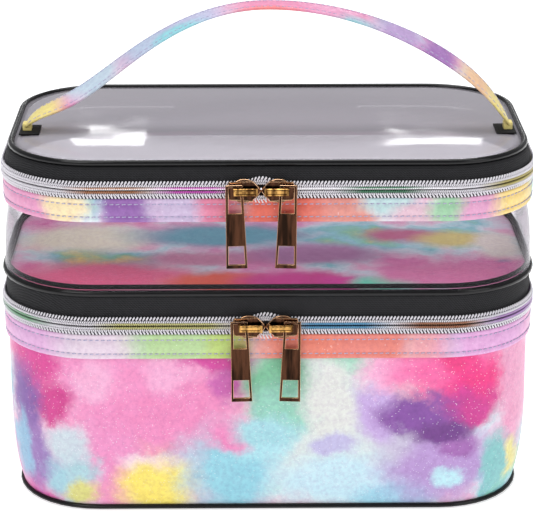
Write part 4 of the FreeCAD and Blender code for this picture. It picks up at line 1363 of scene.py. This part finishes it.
# The strap's section as (depth, side), in shares of its thickness and half width.
STRAP_SECTION = (
    (-0.05, 0.86), (-0.05, -0.86), (-0.22, -0.96), (-0.5, -1.0), (-0.78, -0.96),
    (-0.95, -0.86), (-0.95, 0.86), (-0.78, 0.96), (-0.5, 1.0), (-0.22, 0.96),
)


def handle():
    """The carrying strap, its stitches, and the patches and tongues that hold it on the lid."""
    strap_skin()
    strap_stitches()
    for hand, side in (("left", -1), ("right", 1)):
        anchor = "handle_" + hand + "_anchor"
        low, high = size_of(anchor)
        patch = plain_block(anchor + "_patch", low, high, 0.2 * MM, 2)
        dress(patch, "lid", finish_for("binding"), "woven_tape", anchor)
        strap_tongue("handle_" + hand + "_tongue", side, low, high)


def strap_skin():
    """Two sewn layers with rounded edges: the section carried along the strap's path, closed at both ends."""
    start_object()
    bpy.ops.mesh.primitive_circle_add(vertices=len(STRAP_SECTION), radius=1)
    bpy.ops.object.mode_set(mode="EDIT")
    bpy.ops.mesh.select_all(action="SELECT")
    shell = bmesh.from_edit_mesh(bpy.context.object.data)
    spot = shell.verts.layers.int.new("spot")
    for index, vertex in enumerate(sorted(shell.verts, key=lambda one: math.atan2(one.co.y, one.co.x))):
        vertex[spot] = index
    for index, (point, flat_out, share) in enumerate(strap_path(72)):
        out, across = twisted(flat_out, share)
        if index:
            bpy.ops.mesh.extrude_region_move()
        place_section(point, out, across, share)
    for side in (-1, 1):
        select_edges(lambda edge: edge.is_boundary and edge.verts[0].co.x * side > 0)
        bpy.ops.mesh.edge_face_add()
    bpy.ops.mesh.select_mode(type="VERT")
    bpy.ops.mesh.select_all(action="SELECT")
    bpy.ops.mesh.normals_make_consistent(inside=False)
    strap = finish_object("strap_skin", 60)
    dress(strap, "handle", finish_for("strap"), "strap_leather", "handle_outer_layer", "handle_inner_layer")


def place_section(point, out, across, share):
    """Put the selected ring of points round one place on the strap, narrower close to its ends."""
    narrow_from = 0.94
    narrow = 1.0 - 0.55 * (max(0.0, abs(share) - narrow_from) / (1 - narrow_from)) ** 2
    shell = bmesh.from_edit_mesh(bpy.context.object.data)
    spot = shell.verts.layers.int["spot"]
    for vertex in shell.verts:
        if vertex.select:
            depth, side = STRAP_SECTION[vertex[spot]]
            vertex.co = point + out * depth * STRAP_THICKNESS + across * side * STRAP_HALF_WIDTH * narrow
    bmesh.update_edit_mesh(bpy.context.object.data)


def strap_tongue(name, side, low, high):
    """The folded tongue that joins one end of the strap to its patch."""
    pivot = PIVOTS["handle_lean"]
    half_length, half_width = 2 * MM, 2.6 * MM
    middle = (low.x + high.x) / 2 + side * 1.2 * MM
    tongue = plain_block(name, (middle - half_length, pivot.y - half_width, high.z - 0.15 * MM),
                         (middle + half_length, pivot.y + half_width, pivot.z + 1.2 * MM), 0.5 * MM, 3)
    tongue.data.materials.clear()
    tongue.data.materials.append(finish_for("strap"))
    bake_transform(tongue)


def strap_stitches():
    """Two rows of stitches along the strap, on its upper face."""
    sizes = bpy.context.scene.case_sizes
    stitch = stitch_model("strap_stitch", 0.4 * MM)
    edge_distance = 1.5 * MM
    places = []
    path = strap_path(400)
    length = 0.0
    next_stitch = 4 * MM
    for (start, flat_out, share), (end, _, _) in zip(path, path[1:]):
        out, across = twisted(flat_out, share)
        length += (end - start).length
        if length < next_stitch or abs(share) > 0.97:
            continue
        next_stitch += sizes.stitch_pitch
        along = (end - start).normalized()
        for side in (-1, 1):
            point = start + across * side * (STRAP_HALF_WIDTH - edge_distance) - out * 0.08 * MM
            places.append(axes_matrix(point, along, out.cross(along), out))
    sewn = strew("strap_stitches", stitch, places)
    dress(sewn, "handle", finish_for("thread"), "strap_leather")


def hinge_strips():
    """The sewn hinge strips at the back, each one piece over its two leaves."""
    hinge_strip("lower_hinge_strip", "lower_hinge_case_leaf", "lower_hinge_deck_leaf",
                "lower_band")
    hinge_strip("upper_hinge_strip", "upper_hinge_deck_leaf", "upper_hinge_lid_leaf",
                "upper_band")


def hinge_strip(name, below, above, finish):
    """One flat strip of banding over two leaves."""
    low = size_of(below)[0]
    high = size_of(above)[1]
    start_object()
    bpy.ops.mesh.primitive_grid_add(x_subdivisions=30, y_subdivisions=26, size=1, rotation=(math.pi / 2, 0, 0))
    bpy.ops.object.transform_apply(rotation=True)
    bpy.ops.object.mode_set(mode="EDIT")
    bpy.ops.transform.resize(value=(high.x - low.x, 1, high.z - low.z), center_override=(0, 0, 0))
    bpy.ops.transform.translate(value=(0, size_of(below)[1].y - 0.35 * MM, (low.z + high.z) / 2))
    bpy.ops.mesh.normals_make_consistent(inside=False)
    strip = finish_object(name, 60)
    apply_modifier(strip, "SOLIDIFY", thickness=0.6 * MM, offset=0.0)
    strip.data.materials.clear()
    strip.data.materials.append(finish_for(finish))
    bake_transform(strip)
    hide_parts(below, above)


def soft_lamp(name, place, aim, width, height, power):
    """A rectangular soft box pointed at a place."""
    light = bpy.data.lights.new(name, "AREA")
    light.shape = "RECTANGLE"
    light.size = width
    light.size_y = height
    light.energy = power
    lamp = bpy.data.objects.new(name, light)
    bpy.context.collection.objects.link(lamp)
    lamp.location = place
    lamp.rotation_euler = (Vector(aim) - Vector(place)).to_track_quat("-Z", "Y").to_euler()
    return lamp


def camera_place():
    """The camera, a little above the lid and far off with a long lens."""
    camera = bpy.data.cameras.new("camera")
    camera.sensor_width = 36
    camera.lens = 146.69
    camera.shift_x = -0.00165
    camera.shift_y = -0.00398
    eye = bpy.data.objects.new("camera", camera)
    bpy.context.collection.objects.link(eye)
    eye.location = (-0.01068, -0.95568, 0.43082)
    eye.rotation_euler = (math.radians(70.81), 0, math.radians(-0.64))
    bpy.context.scene.camera = eye


def stage():
    """Pale floor and sky, soft boxes, and the camera."""
    start_object()
    bpy.ops.mesh.primitive_plane_add(size=40, location=(0, 0, -0.2 * MM))
    floor = finish_object("studio_floor", 0)
    floor.data.materials.append(studio_paper("matt_white_paper"))

    world = bpy.data.worlds.new("studio")
    bpy.context.scene.world = world
    world.use_nodes = True
    background = world.node_tree.nodes["Background"]
    background.inputs["Color"].default_value = opaque("#F4F5F7")
    background.inputs["Strength"].default_value = 0.43
    soft_lamp("key_box", (-0.55, -0.9, 1.15), (0, 0, 0.08), 0.7, 0.7, 5.2)
    soft_lamp("fill_box", (0.85, -0.75, 0.65), (0, 0, 0.1), 0.6, 0.8, 2.5)
    soft_lamp("top_box", (0.0, 0.25, 1.3), (0, 0, 0.1), 1.0, 0.6, 9)
    # Two small cards behind the case, each mirrored as a bright patch in the lid.
    soft_lamp("left_rear_card", (-0.145, 1.0, 0.51), (-0.07, -0.035, 0.165), 0.08, 0.07, 0.1)
    soft_lamp("right_rear_card", (0.185, 1.0, 0.51), (0.08, -0.035, 0.165), 0.12, 0.07, 0.15)

    camera_place()
    bpy.context.scene.view_settings.view_transform = "Standard"


# ---------------------------------------------------------------- operators and panel


class CASE_OT_lower_tier(bpy.types.Operator):
    """Build the soft lower wall, its lining and the bottom"""

    bl_idname = "make_up_case.lower_tier"
    bl_label = "Lower tier"

    def execute(self, context):
        lower_tier()
        return {"FINISHED"}


class CASE_OT_bands(bpy.types.Operator):
    """Build the stitched bands below the zips"""

    bl_idname = "make_up_case.bands"
    bl_label = "Stitched bands"

    def execute(self, context):
        bands()
        return {"FINISHED"}


class CASE_OT_zips(bpy.types.Operator):
    """Build the zip tapes and teeth"""

    bl_idname = "make_up_case.zips"
    bl_label = "Zips"

    def execute(self, context):
        zips()
        return {"FINISHED"}


class CASE_OT_edgings(bpy.types.Operator):
    """Build the corded edgings and bindings"""

    bl_idname = "make_up_case.edgings"
    bl_label = "Edgings"

    def execute(self, context):
        edgings()
        return {"FINISHED"}


class CASE_OT_clear_sheets(bpy.types.Operator):
    """Build the clear wall and lid"""

    bl_idname = "make_up_case.clear_sheets"
    bl_label = "Clear sheets"

    def execute(self, context):
        clear_sheets()
        return {"FINISHED"}


class CASE_OT_deck_floor(bpy.types.Operator):
    """Build the floor between the tiers"""

    bl_idname = "make_up_case.deck_floor"
    bl_label = "Deck floor"

    def execute(self, context):
        deck_floor()
        return {"FINISHED"}


class CASE_OT_sliders(bpy.types.Operator):
    """Build the sliders, bridges and pulls"""

    bl_idname = "make_up_case.sliders"
    bl_label = "Sliders"

    def execute(self, context):
        sliders()
        return {"FINISHED"}


class CASE_OT_handle(bpy.types.Operator):
    """Build the carrying strap"""

    bl_idname = "make_up_case.handle"
    bl_label = "Handle"

    def execute(self, context):
        handle()
        return {"FINISHED"}


class CASE_OT_hinge_strips(bpy.types.Operator):
    """Build the sewn hinges at the back"""

    bl_idname = "make_up_case.hinge_strips"
    bl_label = "Hinge strips"

    def execute(self, context):
        hinge_strips()
        return {"FINISHED"}


class CASE_OT_stage(bpy.types.Operator):
    """Build the floor, the lamps and the camera"""

    bl_idname = "make_up_case.stage"
    bl_label = "Stage"

    def execute(self, context):
        stage()
        return {"FINISHED"}


OPERATORS = [
    CASE_OT_lower_tier,
    CASE_OT_bands,
    CASE_OT_zips,
    CASE_OT_edgings,
    CASE_OT_clear_sheets,
    CASE_OT_deck_floor,
    CASE_OT_sliders,
    CASE_OT_handle,
    CASE_OT_hinge_strips,
    CASE_OT_stage,
]


class CASE_PT_panel(bpy.types.Panel):
    """Lists the sizes, the colours and the operators in the sidebar."""

    bl_label = "Make-up case"
    bl_idname = "CASE_PT_panel"
    bl_space_type = "VIEW_3D"
    bl_region_type = "UI"
    bl_category = "Make-up case"

    def draw(self, context):
        """Show every size, colour and operator."""
        for group in (context.scene.case_sizes, context.scene.case_colours):
            for name in group.__annotations__:
                self.layout.prop(group, name)
        for operator in OPERATORS:
            self.layout.operator(operator.bl_idname)


CLASSES = [CaseSizes, CaseColours, *OPERATORS, CASE_PT_panel]


def register():
    """Register every class and hang the settings on the scene."""
    for one in CLASSES:
        bpy.utils.register_class(one)
    bpy.types.Scene.case_sizes = bpy.props.PointerProperty(type=CaseSizes)
    bpy.types.Scene.case_colours = bpy.props.PointerProperty(type=CaseColours)


def unregister():
    """Take the settings and classes away again."""
    del bpy.types.Scene.case_colours
    del bpy.types.Scene.case_sizes
    for one in reversed(CLASSES):
        bpy.utils.unregister_class(one)


def main():
    """Build the whole case."""
    register()
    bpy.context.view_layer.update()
    for operator in OPERATORS:
        getattr(bpy.ops.make_up_case, operator.bl_idname.split(".")[1])()
    start_object()


if __name__ == "__main__":
    main()
